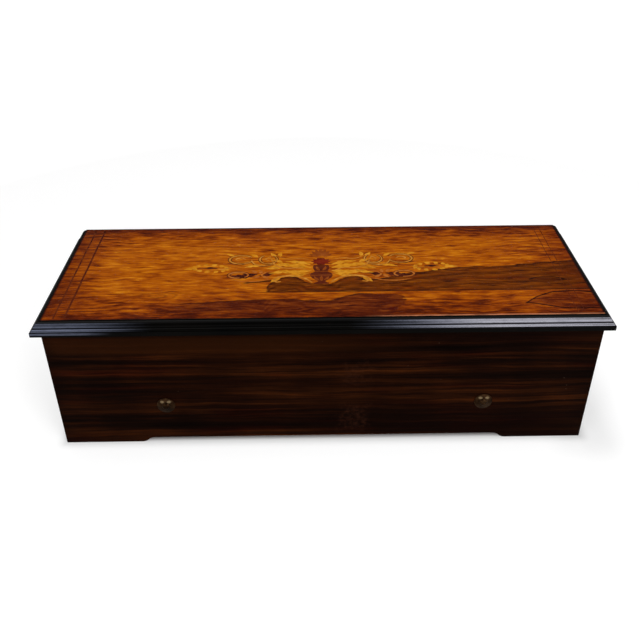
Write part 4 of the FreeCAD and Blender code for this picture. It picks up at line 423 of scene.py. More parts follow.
def dark_veneer(name, face_axis, face, outwards):
    """Rosewood nearly black with age on the face that looks outwards, plain stained wood inside and below."""
    f = Finish(name, specular=0.08)

    def along(length, across, up):
        return (length, across, up) if face_axis == "y" else (across, length, up)

    sway = f.scaled(f.noise((170, 170, 60), detail=4, roughness=0.6, seed=12), 15, -7.5)
    waved = f.joined(f.x, f.y, f.plus(f.z, sway))
    broad = f.noise(along(420, 40, 15), detail=3, roughness=0.5, distortion=0.25, seed=2, place=waved)
    grain = f.noise(along(210, 7, 5), detail=6, roughness=0.6, distortion=0.25, seed=4, place=waved)
    thread = f.noise(along(120, 4, 1.7), detail=5, roughness=0.6, seed=6, place=waved)
    cloud = f.noise((90, 90, 60), detail=3, seed=9)
    value = f.varied(f.scaled(broad, 1.1, -0.06), (grain, 1.0), (thread, 0.6), (cloud, 0.5))
    aged = f.ramp(
        value,
        (0.18, tone(4, 1, 0)), (0.40, tone(11, 3, 1)), (0.52, tone(20, 5, 1)),
        (0.64, tone(32, 11, 2)), (0.84, tone(56, 23, 4)),
    )
    red = f.span(f.noise((160, 160, 22), detail=2, seed=14), 0.5, 0.7, 0.0, 0.6)
    aged = f.mix(red, aged, f.tinted(aged, tone(255, 150, 150)))
    gloss = f.ramp(value, (0.25, (0.08, 0.02, 0.01, 1)), (0.55, (0.36, 0.11, 0.03, 1)), (0.8, (0.8, 0.32, 0.09, 1)))
    f.feed(f.shader.inputs["Specular Tint"], gloss)
    if face_axis == "y" and outwards < 0:
        aged = front_marks(f, aged, cloud)
    nick = f.noise((6, 6, 1.6), detail=2, roughness=0.5, seed=19)
    nick = f.times(f.span(nick, 0.735, 0.775), f.span(cloud, 0.42, 0.58))
    aged = f.mix(f.times(nick, 0.8), aged, tone(120, 96, 84))
    foot = f.span(f.z, 0, 7, 0.6, 0.0)
    aged = f.mix(foot, aged, tone(8, 3, 2))

    side = f.y if face_axis == "y" else f.x
    skin = f.span(f.times(f.minus(side, face / MM), outwards), -0.5, -0.2)
    if face_axis == "y":
        end = front_high.x / MM
        skin = f.most(skin, f.span(f.math("ABSOLUTE", f.x), end - 0.5, end - 0.2))
    plain = f.ramp(grain, (0.25, tone(58, 30, 14)), (0.5, tone(96, 56, 28)), (0.75, tone(126, 80, 44)))
    f.colour(f.mix(skin, plain, aged))
    f.roughness(f.scaled(cloud, 0.25, f.scaled(thread, 0.15, 0.28)))
    f.bump(f.scaled(thread, 0.5, f.times(nick, -1.5)), 0.06)
    return f.material


def ebonised(name, specular, dullness, ior=1.5, painted_reflections=False):
    """Black polish over pear wood, worn at its edges. Optionally it also gets painted reflections: a specular-tint
    mask lets only bands of its rounds and fillet mirror the lamps, tinted blue, and almost nothing elsewhere.
    """
    f = Finish(name, specular=specular, ior=ior)
    cloud = f.noise((60, 60, 30), detail=4, seed=1)
    grain = f.noise((90, 6, 3), detail=5, roughness=0.6, seed=2)
    scuff = f.span(f.noise((14, 3, 2), detail=4, roughness=0.7, seed=5), 0.62, 0.8)
    black = f.ramp(cloud, (0.3, tone(2, 2, 2)), (0.7, tone(6, 5, 4)))
    f.colour(f.mix(f.times(scuff, 0.35), black, tone(44, 26, 18)))
    f.roughness(f.scaled(scuff, 0.2, f.scaled(cloud, 0.12, dullness)))
    f.bump(f.scaled(scuff, -0.5, f.times(grain, 0.4)), 0.004)
    if painted_reflections:
        # painted reflections: the specular tint lets the lamps be mirrored only in these bands of the moulding's
        # rounds and fillet, most at the right and at the left end, tinted blue; elsewhere it is near black, a painted
        # absence of reflection
        up = f.minus(f.z, lid_low.z / MM)
        at_right = f.span(f.x, 20, 180, 0.0, 1.05)
        at_left = f.span(f.x, -165, -255)
        low_round = f.most(at_right, f.times(at_left, 0.6))
        low_round = f.times(f.band(up, 5.2, 7.0, 0.3), low_round)
        high_round = f.most(at_right, f.times(at_left, 0.45))
        high_round = f.times(f.band(up, 8.4, 11.6, 0.6), high_round)
        rounds = f.most(low_round, high_round)
        fillet = f.times(f.band(up, 2.2, 4.3, 0.4), f.span(f.x, -205, -245))
        sheen_map = f.most(rounds, fillet)
        sheen_map = f.times(sheen_map, f.span(f.noise((9, 4, 3), detail=3, seed=8), 0.3, 0.55, 0.75, 1.0))
        unmirrored_tint = (0.008, 0.008, 0.008, 1)
        painted_reflection_tint = f.mix(at_right, (0.62, 0.70, 1.0, 1), (0.88, 0.87, 1.0, 1))
        f.feed(f.shader.inputs["Specular Tint"], f.mix(sheen_map, unmirrored_tint, painted_reflection_tint))
    return f.material


def pine():
    """Plain softwood with a thin brown stain, its rings running along the case."""
    f = Finish("plain_pine", specular=0.3)
    warp = f.scaled(f.noise((170, 46, 46), detail=4, seed=1), 90, f.times(f.z, 0.8))
    rings = f.math("SINE", f.scaled(f.y, 0.12, f.times(warp, 0.5)))
    fibre = f.noise((60, 1.5, 1.5), detail=5, roughness=0.65, seed=2)
    value = f.scaled(rings, 0.09, f.scaled(fibre, 0.5, 0.24))
    wood = f.ramp(value, (0.2, tone(108, 70, 37)), (0.5, tone(140, 97, 56)), (0.8, tone(166, 122, 76)))
    dirt = f.span(f.noise((50, 50, 50), detail=4, seed=6), 0.5, 0.75, 0.0, 0.45)
    f.colour(f.mix(dirt, wood, tone(70, 44, 26)))
    f.roughness(f.scaled(fibre, 0.25, 0.5))
    f.bump(value, 0.03)
    return f.material


def turned_grip():
    """Dark turned wood whose grain runs along the grip."""
    f = Finish("grip_wood", specular=0.4)
    grain = f.noise((3, 40, 3), detail=6, roughness=0.6, distortion=0.5, seed=3)
    f.colour(f.ramp(grain, (0.3, tone(30, 12, 7)), (0.5, tone(58, 26, 14)), (0.7, tone(92, 46, 22))))
    f.roughness(f.scaled(grain, 0.2, 0.22))
    f.bump(grain, 0.04)
    return f.material


def inlay_wood(name, dark, middle, light, along=9.0, shaded=0.0):
    """Thin coloured veneer with its own fine grain. shaded is how far hot sand has browned its edges."""
    f = Finish(name, specular=0.3)
    grain = f.noise((along, 1.2, 9), detail=5, roughness=0.62, distortion=0.6, seed=7)
    cloud = f.noise((13, 9, 9), detail=3, roughness=0.6, seed=12)
    value = f.scaled(grain, 0.6, f.scaled(cloud, 0.6, -0.1))
    wood = f.ramp(value, (0.32, dark), (0.5, middle), (0.68, light))
    browned = f.span(f.noise((6, 5, 5), detail=2, seed=15), 0.5, 0.68, 0.0, shaded)
    f.colour(f.mix(browned, wood, tone(104, 48, 14)))
    f.roughness(f.scaled(cloud, 0.14, 0.16))
    f.bump(grain, 0.02)
    return f.material


# ---- metals, card and glass


def metal(name, dark, bright, roughness, brush, tarnish=0.4, spots=0.3, depth=0.01):
    """Metal with brush marks that long along x, y and z, a cloudy tarnish and darker spots."""
    f = Finish(name, metallic=1.0)
    marks = f.noise(brush, detail=5, roughness=0.65, seed=1)
    cloud = f.noise((26, 26, 26), detail=5, roughness=0.6, seed=2)
    spot = f.span(f.noise((2.4, 2.4, 2.4), detail=3, roughness=0.6, seed=5), 0.6, 0.74)
    share = f.plus(f.times(cloud, tarnish), f.scaled(marks, 0.3, -0.15))
    shown = f.mix(share, bright, dark)
    f.colour(f.mix(f.times(spot, spots), shown, dark))
    rough = f.scaled(marks, 0.18, roughness - 0.09)
    f.roughness(f.plus(rough, f.times(spot, 0.15)))
    f.bump(f.scaled(spot, -0.5, marks), depth)
    return f.material


def bronzed():
    """Brown bronzed brass. A painted highlight lies on the upper rims of the two front bolts: a bright patch that
    stands in for the lamps' reflection there.
    """
    f = Finish("bronzed_brass", metallic=1.0)
    cloud = f.noise((8, 8, 8), detail=5, roughness=0.6, seed=2)
    pits = f.span(f.noise((1.6, 1.6, 1.6), detail=3, roughness=0.6, seed=5), 0.52, 0.7)
    shown = f.ramp(cloud, (0.3, tone(34, 20, 12)), (0.5, tone(62, 42, 26)), (0.7, tone(88, 64, 42)))
    shown = f.mix(f.times(pits, 0.7), shown, tone(18, 10, 6))
    # painted highlight: a bright patch on the top of each front bolt's rim
    from_left, from_right = (f.math("ABSOLUTE", f.minus(f.x, x)) for x in (LEFT_BOLT_X, RIGHT_BOLT_X))
    highlight_x = f.times(f.minus(f.least(from_left, from_right), 3.6), 0.42)
    highlight_z = f.times(f.minus(f.z, BOLT_Z + 5.4), 0.6)
    lighter_patch = f.span(f.squares(highlight_x, highlight_z), 0.2, 1.3, 0.8, 0.0)
    f.colour(f.mix(lighter_patch, shown, tone(150, 128, 96)))
    f.roughness(f.scaled(cloud, 0.2, 0.2))
    f.bump(f.scaled(pits, -0.6, cloud), 0.08)
    return f.material


def japanned():
    """Black japanned cast iron, chipped to brown."""
    f = Finish("lever_iron", specular=0.5)
    cast = f.noise((1.6, 1.6, 1.6), detail=4, roughness=0.6, seed=1)
    chip = f.span(f.noise((5, 5, 5), detail=4, roughness=0.7, seed=4), 0.63, 0.72)
    f.colour(f.mix(chip, f.ramp(cast, (0.3, tone(12, 11, 11)), (0.7, tone(24, 22, 21))), tone(86, 66, 52)))
    f.roughness(f.scaled(chip, 0.35, f.scaled(cast, 0.15, 0.18)))
    f.bump(f.scaled(chip, -0.6, cast), 0.05)
    return f.material


def tune_card():
    """A yellowed card with a double frame and ruled lines, left blank."""
    f = Finish("card", roughness=0.75, specular=0.2)
    fibre = f.noise((2.5, 2.5, 2.5), detail=5, roughness=0.7, seed=1)
    cloud = f.noise((36, 30, 30), detail=4, roughness=0.6, seed=2)
    paper = f.ramp(
        f.scaled(fibre, 0.3, f.times(cloud, 0.7)),
        (0.3, tone(204, 178, 134)), (0.5, tone(226, 207, 170)), (0.7, tone(238, 224, 194)),
    )
    half_x = (sheet_high.x - sheet_low.x) / 2 / MM
    half_y = (sheet_high.y - sheet_low.y) / 2 / MM
    in_x = f.minus(half_x, f.math("ABSOLUTE", f.x))
    in_y = f.minus(half_y, f.math("ABSOLUTE", f.y))
    near = f.least(in_x, in_y)
    frame_lines = f.most(f.band(near, 5.0, 6.2, 0.2), f.band(near, 8.0, 8.4, 0.2))
    row_height = 11
    rows = f.math("ABSOLUTE", f.minus(f.math("FRACT", f.times(f.y, 1 / row_height)), 0.5))
    ruled = f.times(f.span(rows, 0.03, 0.015), f.span(near, 14, 15))
    ink = f.times(f.most(frame_lines, f.times(ruled, 0.6)), 0.8)
    f.colour(f.mix(ink, paper, tone(92, 40, 34)))
    f.bump(fibre, 0.05)
    return f.material


def pane():
    """Old window glass, faintly green, hazy and uneven."""
    f = Finish("pane_glass", roughness=0.02, ior=1.5)
    f.shader.inputs["Transmission Weight"].default_value = 1.0
    haze = f.noise((40, 30, 30), detail=4, seed=1)
    f.colour(f.ramp(haze, (0.3, (0.90, 0.95, 0.93, 1)), (0.7, (0.97, 0.99, 0.98, 1))))
    f.roughness(f.span(haze, 0.5, 0.8, 0.01, 0.05))
    f.bump(f.noise((60, 60, 60), detail=1, seed=3), 0.15)
    return f.material


# the two front bolts, in millimetres
LEFT_BOLT_X = -166.65
RIGHT_BOLT_X = 168.85
BOLT_Z = 50.8
BRASS_DARK = tone(120, 88, 38)
STEEL_DARK = tone(92, 90, 88)

METALS = {
    "hinge_brass": (tone(104, 76, 36), tone(204, 166, 96), 0.34, (40, 0.5, 0.5), 0.4, 0.5),
    "hinge_steel": (tone(70, 64, 58), tone(160, 156, 150), 0.36, (40, 0.5, 0.5), 0.4, 0.5),
    "bed_brass": (BRASS_DARK, tone(214, 176, 98), 0.32, (60, 0.8, 0.8), 0.5),
    "wheel_brass": (BRASS_DARK, tone(232, 196, 116), 0.2, (0.6, 8, 8), 0.35),
    "cylinder_brass": (tone(136, 104, 54), tone(224, 192, 124), 0.28, (0.35, 30, 30)),
    "pin_steel": (STEEL_DARK, tone(210, 210, 212), 0.25, (40, 0.5, 0.5)),
    "comb_steel": (tone(110, 108, 106), tone(188, 190, 194), 0.3, (0.4, 24, 24)),
    "lead": (tone(70, 72, 76), tone(120, 122, 126), 0.6, (4, 4, 4), 0.4, 0.3, 0.08),
    "blued_steel": (tone(26, 32, 66), tone(66, 84, 150), 0.22, (1, 1, 1), 0.5),
    "bright_steel": (STEEL_DARK, tone(196, 196, 198), 0.22, (0.5, 10, 10)),
}
finishes = {name: metal(name, *values) for name, values in METALS.items()}
finishes.update(
    figured_veneer=figured_veneer(),
    ebonised_wood=ebonised("ebonised_wood", 1.0, 0.14, ior=2.0, painted_reflections=True),
    plain_pine=pine(),
    card=tune_card(),
    pane_glass=pane(),
    bronzed_brass=bronzed(),
    lever_iron=japanned(),
    grip_wood=turned_grip(),
)
# each outer panel's thin axis, where its outer face lies along it, and which way that face looks
PANELS = {
    "front_panel": ("y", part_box("front_panel")[0].y, -1),
    "rear_panel": ("y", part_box("rear_panel")[1].y, 1),
    "left_end": ("x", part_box("left_end")[0].x, -1),
    "right_end": ("x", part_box("right_end")[1].x, 1),
}
dull_black = ebonised("ebonised_sides", 0.02, 0.5)

for part in frame["record"]["subparts"]:
    name = part["node"]
    if name in ("lid_moulding_left", "lid_moulding_right"):
        material = dull_black
    elif name in PANELS:
        material = dark_veneer(f"rosewood_{name}", *PANELS[name])
    else:
        material = finishes[part["material_slot"]]
    slots = nodes[name].material_slots
    if not slots:
        nodes[name].data.materials.append(material)
    for slot in slots:
        slot.material = material


# ---- helpers for pieces


def add_piece(name, body, slot, build, material=None, smooth_angle=None):
    """A piece that a function fills into a bmesh, riding on a body. Without a material it wears its slot's finish."""
    form = bmesh.new()
    build(form)
    bmesh.ops.remove_doubles(form, verts=form.verts, dist=1e-7)
    bmesh.ops.dissolve_degenerate(form, dist=1e-7, edges=form.edges)
    bmesh.ops.recalc_face_normals(form, faces=form.faces)
    mesh = bpy.data.meshes.new(name)
    form.to_mesh(mesh)
    form.free()
    mesh.materials.append(material or finishes[slot])
    if smooth_angle:
        for polygon in mesh.polygons:
            polygon.use_smooth = True
        mesh.set_sharp_from_angle(angle=math.radians(smooth_angle))
    piece = bpy.data.objects.new(name, mesh)
    bpy.context.scene.collection.objects.link(piece)
    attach(piece, body)


def smooth_line(points, per_span=8):
    """A Catmull-Rom line through the points."""
    vectors = [Vector(point) for point in points]
    padded = [2 * vectors[0] - vectors[1]] + vectors + [2 * vectors[-1] - vectors[-2]]
    line = []
    for a, b, c, d in zip(padded, padded[1:], padded[2:], padded[3:]):
        square = 2 * a - 5 * b + 4 * c - d
        cube = 3 * b - a - 3 * c + d
        for step in range(per_span):
            t = step / per_span
            line.append(0.5 * (2 * b + (c - a) * t + square * t**2 + cube * t**3))
    line.append(vectors[-1])
    return line


def edges(rows):
    """Left and right edges, from the points of a middle line and half the way across at each."""
    return [point + half for point, half in rows], [point - half for point, half in rows]


def stroke(points, width, start=0.15, end=0.15):
    """A swelling line as left and right edges. start and end are the widths at its ends, as shares."""
    line = smooth_line(points)
    rows = []
    for number, here in enumerate(line):
        ahead = line[min(number + 1, len(line) - 1)] - line[max(number - 1, 0)]
        across = Vector((-ahead.y, ahead.x)).normalized()
        share = number / (len(line) - 1)
        swell = math.sin(math.pi * share) ** 0.6
        taper = start * (1 - share) + end * share
        half = width / 2 * max(taper, swell * (1 - taper) + taper)
        rows.append((here, across * half))
    return edges(rows)


def leaf(base, tip, width, bend=0.0, teeth=0):
    """A pointed leaf as left and right edges, bent to one side, with lobes if teeth are given."""
    base = Vector(base)
    tip = Vector(tip)
    along = tip - base
    across = Vector((-along.y, along.x)).normalized()
    rows = []
    steps = 18
    for number in range(steps + 1):
        share = number / steps
        middle = base + along * share + across * (bend * math.sin(math.pi * share))
        half = width / 2 * math.sin(math.pi * share**0.8)
        if teeth:
            half *= 0.8 + 0.2 * math.cos(2 * math.pi * teeth * share)
        rows.append((middle, across * half))
    return edges(rows)


def ring(centre, radius_x, radius_y, turn, sweep, width):
    """Part of a ring, as a stroke."""
    points = []
    steps = max(8, int(sweep / 24))
    for number in range(steps + 1):
        angle = math.radians(turn + sweep * number / steps)
        points.append((centre[0] + radius_x * math.cos(angle), centre[1] + radius_y * math.sin(angle)))
    return stroke(points, width, 0.6, 0.6)


def flipped(line):
    return [Vector((-p.x, p.y)) for p in line]


def mirrored(shape):
    left, right = shape
    return flipped(right), flipped(left)


def profile(points):
    """A symmetrical shape from the half widths at several heights."""
    line = smooth_line(points, 5)
    return flipped(line), line


def tube(form, rows):
    """A closed solid through rows of four corners each."""
    for first, second in zip(rows, rows[1:]):
        for a, b in ((0, 1), (1, 2), (2, 3), (3, 0)):
            form.faces.new((first[a], first[b], second[b], second[a]))
    form.faces.new(rows[0])
    form.faces.new(rows[-1])


def inlay(name, shapes, material, proud):
    """Flat shapes let into the lid, a hair proud of it. Each is a pair of edges in millimetres."""
    sunk = LID_TOP - 0.3 * MM
    centre_x = -1.0
    step = 0.0002  # each shape stands this much above the one before it

    def build(form):
        for number, (left, right) in enumerate(shapes):
            top = LID_TOP + (proud + step * number) * MM
            rows = []
            for a, b in zip(left, right):
                rows.append([form.verts.new(((p.x + centre_x) * MM, p.y * MM, height))
                             for p, height in ((a, sunk), (a, top), (b, top), (b, sunk))])
            tube(form, rows)

    add_piece(name, "lid", "figured_veneer", build, material)


# ---- marquetry

boxwood = inlay_wood("boxwood", tone(150, 86, 20), tone(186, 118, 34), tone(216, 156, 62), shaded=0.35)
satinwood = inlay_wood("satinwood", tone(174, 100, 12), tone(204, 134, 22), tone(224, 160, 44), shaded=0.4)
buff_wood = inlay_wood("buff_maple", tone(140, 70, 16), tone(172, 96, 30), tone(196, 124, 52), shaded=0.4)
tulipwood = inlay_wood("tulipwood", tone(108, 46, 10), tone(134, 62, 14), tone(158, 84, 24), shaded=0.4)
crimson = inlay_wood("crimson_veneer", tone(82, 16, 5), tone(108, 26, 9), tone(130, 46, 16))
rosewood = inlay_wood("vase_rosewood", tone(58, 18, 7), tone(84, 30, 11), tone(112, 50, 18))
purplewood = inlay_wood("purplewood", tone(44, 13, 6), tone(70, 24, 10), tone(98, 42, 16))

# the right half, in millimetres from the lid's middle; the left half is its mirror image
UPPER_CURL = (58, 23), 9.6, 9.8, 120, 300
OUTER_CURL = (88, 23), 13, 9.5, 200, 310
LOWER_CURL = (89, -11), 10.5, 6.3, -100, 330
half_scrolls = [
    stroke([(10, -28), (18, -19), (31, -13.5), (43, -15), (50, -20), (48, -26), (43, -25)], 2.8, 0.5, 0.3),
    stroke([(12, -4), (24, 3), (38, 3), (49, 9), (53, 18), (57, 31)], 2.2),
    ring(*UPPER_CURL, width=2.0),
    stroke([(57, 20), (61, 23), (58, 27), (54, 24)], 1.7),
    stroke([(51, 12), (64, 9), (73, 13), (77, 22)], 2.2),
    ring(*OUTER_CURL, width=2.2),
    stroke([(83, 23), (88, 27), (94, 24), (91, 20)], 1.6),
    stroke([(98, 6), (106, 2), (113, 3)], 1.8),
    stroke([(12, 21), (24, 25), (36, 23), (46, 28)], 1.6),
]
half_leaves = [leaf(*row) for row in (
    ((11, 3), (47, 9), 10, 2.5, 4), ((11, -3), (47, -4), 10, -2.5, 4), ((13, -8), (41, -13), 7, -2, 3),
    ((11, 10), (40, 18), 8, 2, 3), ((35, 13), (55, 6), 7, 1, 2), ((36, -1), (57, -8), 7, -1, 2),
    ((44, 3), (60, 2), 6, 1), ((42, 15), (54, 22), 5, 1), ((45, 29), (44, 39), 5, -1),
    ((49, 30), (56, 38), 4.5, -1), ((64, 9), (84, 5), 6, 1.5, 3), ((70, 28), (79, 35), 4.5, 1),
    ((97, 31), (106, 36), 4, 1), ((136, 4), (149, 3), 4.5, 0), ((44, -18), (54, -27), 6, 1),
)]
for number in range(12):  # a wreath of small leaves at the end of the scrolls
    angle = math.radians(30 * number)
    base = (120 + 17 * math.cos(angle), 4 + 6.5 * math.sin(angle))
    tip = (base[0] + 7 * math.cos(angle + 1.2), base[1] + 5.5 * math.sin(angle + 1.2))
    half_leaves.append(leaf(base, tip, 4.6, 0.6))
half_buff = [
    ring(*LOWER_CURL, width=2.2),
    stroke([(55, -20), (66, -24), (82, -25), (97, -21)], 1.8),
    stroke([(52, -4), (60, -6), (64, -12), (58, -16), (54, -12)], 1.8),
    leaf((70, -7), (75, -1), 4, 0.5),
    leaf((66, -8), (65, -1), 4, 0.5),
    leaf((66, -13), (72, -19), 4, 0.5),
    leaf((62, -13), (57, -19), 4, 0.5),
]
half_dark = [
    leaf((68, -9), (103, -15), 11, -2.0, teeth=5),
    leaf((50, -7), (68, -13), 6, -1.0, teeth=2),
    leaf((84, 11), (104, 15), 4.5, 1.2, teeth=2),
    leaf((112, 4), (130, 4), 5, 1.0, teeth=2),
]
half_shadow = [
    ring(*UPPER_CURL, width=3.8),
    ring(*OUTER_CURL, width=4.0),
    ring(*LOWER_CURL, width=4.0),
    stroke([(51, 11.4), (64, 8.2), (73, 12.4), (77, 21)], 3.4),
]
for name, half, wood, proud in (
    ("marquetry_shadow", half_shadow, purplewood, 0.008),
    ("marquetry_dark_leaves", half_dark, purplewood, 0.012),
    ("marquetry_leaves", half_leaves, satinwood, 0.016),
    ("marquetry_scrolls", half_scrolls, boxwood, 0.032),
    ("marquetry_buff_scrolls", half_buff, buff_wood, 0.032),
):
    inlay(name, half + [mirrored(shape) for shape in half], wood, proud)

VASE = [(7, -31), (8, -29), (4, -26), (7, -22), (11, -17), (12, -12), (10.5, -8), (7, -5), (8, -1), (9, 4), (8, 9)]
inlay("marquetry_vase", [profile(VASE)], rosewood, 0.03)
bands = [profile([(11.8, -13.6), (12.0, -12.2)]), profile([(7.2, -5.4), (7.2, -4.2)]), leaf((0, -25), (0, -14), 4, 0)]
bands += [leaf((side * 2.4, -23), (side * 7.8, -15), 3, -side) for side in (-1, 1)]
bands += [leaf((side * 1.5, -3), (side * 5, 7), 3.4, -side) for side in (-1, 1)]
inlay("marquetry_vase_bands", bands, tulipwood, 0.036)
rosette = []
for number in range(61):
    angle = math.radians(3 * number - 90)
    reach = 1 + 0.14 * math.cos(10 * angle)
    rosette.append(Vector((9.6 * reach * math.cos(angle), 17 + 7 * reach * math.sin(angle))))
inlay("marquetry_flower", [(flipped(rosette), rosette)], crimson, 0.036)
fan = []
for number in range(7):
    angle = math.radians(90 + 24 * (number - 3))
    base = (3 * math.cos(angle), 28 + 2 * math.sin(angle))
    fan.append(leaf(base, (14 * math.cos(angle), 29 + 18 * math.sin(angle)), 5, 0))
inlay("marquetry_palmette", fan, tulipwood, 0.024)

stringing_wood = inlay_wood("stringing", tone(58, 18, 8), tone(82, 31, 10), tone(110, 50, 15), along=20)
strings = []
for x, width in ((-266, 1.8), (-255.2, 2.1), (252.6, 0.7), (259.6, 0.7)):
    line = [(x + 1 + 0.12 * math.sin(y / 9), y) for y in range(-92, 96, 11)] + [(x + 1, 92)]
    strings.append(stroke(line, width, 1.0, 1.0))
inlay("border_stringing", strings, stringing_wood, 0.02)


# ---- movement details


def pin(form, place):
    """A square pin that narrows upwards."""
    half = 0.16 * MM
    height = 0.85 * MM
    rows = []
    for reach, up in ((half, 0), (half * 0.6, height)):
        rows.append([form.verts.new(place @ Vector((a * reach, b * reach, up)))
                     for a, b in ((-1, -1), (1, -1), (1, 1), (-1, 1))])
    tube(form, rows)


def pinning(form):
    """The whole pinning: six tunes of tracks side by side under each of the comb's teeth."""
    dice = random.Random(5)
    centre_y = (drum_low.y + drum_high.y) / 2
    centre_z = (drum_low.z + drum_high.z) / 2
    radius = (drum_high.z - drum_low.z) / 2
    teeth = 78
    tunes = 6
    pitch = 3.2 * MM
    tune_pitch = 0.48
    track_start = 0.2
    half_tooth = 1.4
    last_angle = 352  # the rest of the turn is the silent strip between the end of a tune and its start
    note_steps = (9, 13.5, 18, 27, 36, 54)
    spread = 1.6
    first = (drum_low.x + drum_high.x) / 2 - pitch * (teeth - 1) / 2
    for tooth in range(teeth):
        for tune in range(tunes):
            x = first + pitch * tooth + (track_start + tune_pitch * tune - half_tooth) * MM
            angle = dice.uniform(0, 30)
            while angle < last_angle:
                turn = Matrix.Rotation(math.radians(angle), 4, "X")
                pin(form, Matrix.Translation((x, centre_y, centre_z)) @ turn @ Matrix.Translation((0, 0, radius)))
                angle += dice.choice(note_steps) * dice.uniform(0.96, 1.04) * spread


add_piece("cylinder_pinning", "cylinder", "pin_steel", pinning)


def worm_thread(form):
    """The worm's thread wound round the plain core of its staff, at the height of the wheel that drives it."""
    x = (worm_low.x + worm_high.x) / 2
    y = (worm_low.y + worm_high.y) / 2
    second_low, second_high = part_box("second_wheel")
    low = (second_low.z + second_high.z) / 2 - 7 * MM
    turns = 9
    steps = 20
    pitch = 1.57 * MM
    root, crest = 1.7 * MM, 2.05 * MM
    foot, land = 0.42 * MM, 0.15 * MM
    rows = []
    for step in range(turns * steps + 1):
        angle = 2 * math.pi * step / steps
        rise = low + pitch * step / steps
        rows.append([form.verts.new((x + reach * math.cos(angle), y + reach * math.sin(angle), rise + up))
                     for reach, up in ((root, -foot), (crest, -land), (crest, land), (root, foot))])
    tube(form, rows)


add_piece("worm_thread", "air_brake", "bright_steel", worm_thread, smooth_angle=40)


def slotted_cap(form, centre, out, radius, height, slot, spin=None):
    """A low domed screw head in two halves, with its slot between them. out is the way it faces."""
    start = len(form.verts)
    steps = 12
    turn = Vector((0, 0, 1)).rotation_difference(Vector(out)).to_matrix().to_4x4()
    place = Matrix.Translation(centre) @ turn
    for side in (-1, 1):
        levels = []
        for share, up in ((1.0, -0.25), (1.0, 0.25), (0.86, 0.75), (0.55, 1.0)):
            row = []
            for number in range(steps + 1):
                angle = math.pi * number / steps
                reach = radius * share
                across = max(reach * math.sin(angle), slot / 2)
                row.append(form.verts.new(place @ Vector((reach * math.cos(angle), side * across, height * up))))
            levels.append(row)
        for lower, upper in zip(levels, levels[1:]):
            for number in range(steps):
                form.faces.new((lower[number], lower[number + 1], upper[number + 1], upper[number]))
            form.faces.new((lower[0], upper[0], upper[-1], lower[-1]))
        form.faces.new(levels[0])
        form.faces.new(levels[-1])
    if spin:
        form.verts.ensure_lookup_table()
        bmesh.ops.rotate(form, verts=form.verts[start:], cent=centre, matrix=spin)


def islands(node):
    """The separate solids of a CAD node, as (lowest, highest) corners, always in the same order."""
    form = bmesh.new()
    form.from_mesh(nodes[node].data)
    bmesh.ops.remove_doubles(form, verts=form.verts, dist=1e-6)
    left = set(form.verts)
    boxes = []
    for start in form.verts:
        if start not in left:
            continue
        left.remove(start)
        group = [start]
        edge = [start]
        while edge:
            for link in edge.pop().link_edges:
                for vertex in link.verts:
                    if vertex in left:
                        left.remove(vertex)
                        group.append(vertex)
                        edge.append(vertex)
        low = Vector([min(v.co[i] for v in group) for i in range(3)])
        high = Vector([max(v.co[i] for v in group) for i in range(3)])
        boxes.append((low, high))
    form.free()
    return boxes


def screw_slots(form):
    """Slotted heads on the movement's screws, each stopped at its own angle."""
    dice = random.Random(2)
    for low, high in islands("movement_screws"):
        centre = ((low.x + high.x) / 2, (low.y + high.y) / 2, high.z)
        spin = Matrix.Rotation(dice.uniform(0, math.pi), 3, "Z")
        slotted_cap(form, centre, (0, 0, 1), (high.x - low.x) / 2 * 0.96, 0.35 * MM, 0.7 * MM, spin)


def bolt_slots(form):
    """Slotted heads on the bolts through the front and the rear of the case."""
    for low, high in islands("movement_bolts"):
        outwards = -1 if (low.y + high.y) < 0 else 1
        face = low.y if outwards < 0 else high.y
        centre = ((low.x + high.x) / 2, face, (low.z + high.z) / 2)
        spin = Matrix.Rotation(math.radians(24 if low.x < 0 else -38), 3, "Y")
        slotted_cap(form, centre, (0, outwards, 0), (high.x - low.x) / 2 * 0.7, 0.28 * MM, 1.0 * MM, spin)


def hinge_screws(form):
    """Three countersunk screws along each leaf of the glass lid's hinge."""
    inset = 3.0 * MM
    for low, high in islands("glass_hinge_frame_leaves"):
        for share in (0.12, 0.5, 0.88):
            centre = (low.x + (high.x - low.x) * share, low.y + inset, high.z)
            slotted_cap(form, centre, (0, 0, 1), 1.7 * MM, 0.12 * MM, 0.45 * MM)


add_piece("screw_slots", "case", "blued_steel", screw_slots, smooth_angle=35)
add_piece("bolt_slots", "case", "bronzed_brass", bolt_slots, smooth_angle=35)
add_piece("frame_hinge_screws", "glass_lid", "hinge_brass", hinge_screws, smooth_angle=35)


# ---- studio

# the case's footprint on the floor, in metres
FOOT_HALF_X = 0.28
FOOT_HALF_Y = 0.0985
FOOT_MIDDLE_Y = 0.00225
WHITE = (1, 1, 1, 1)


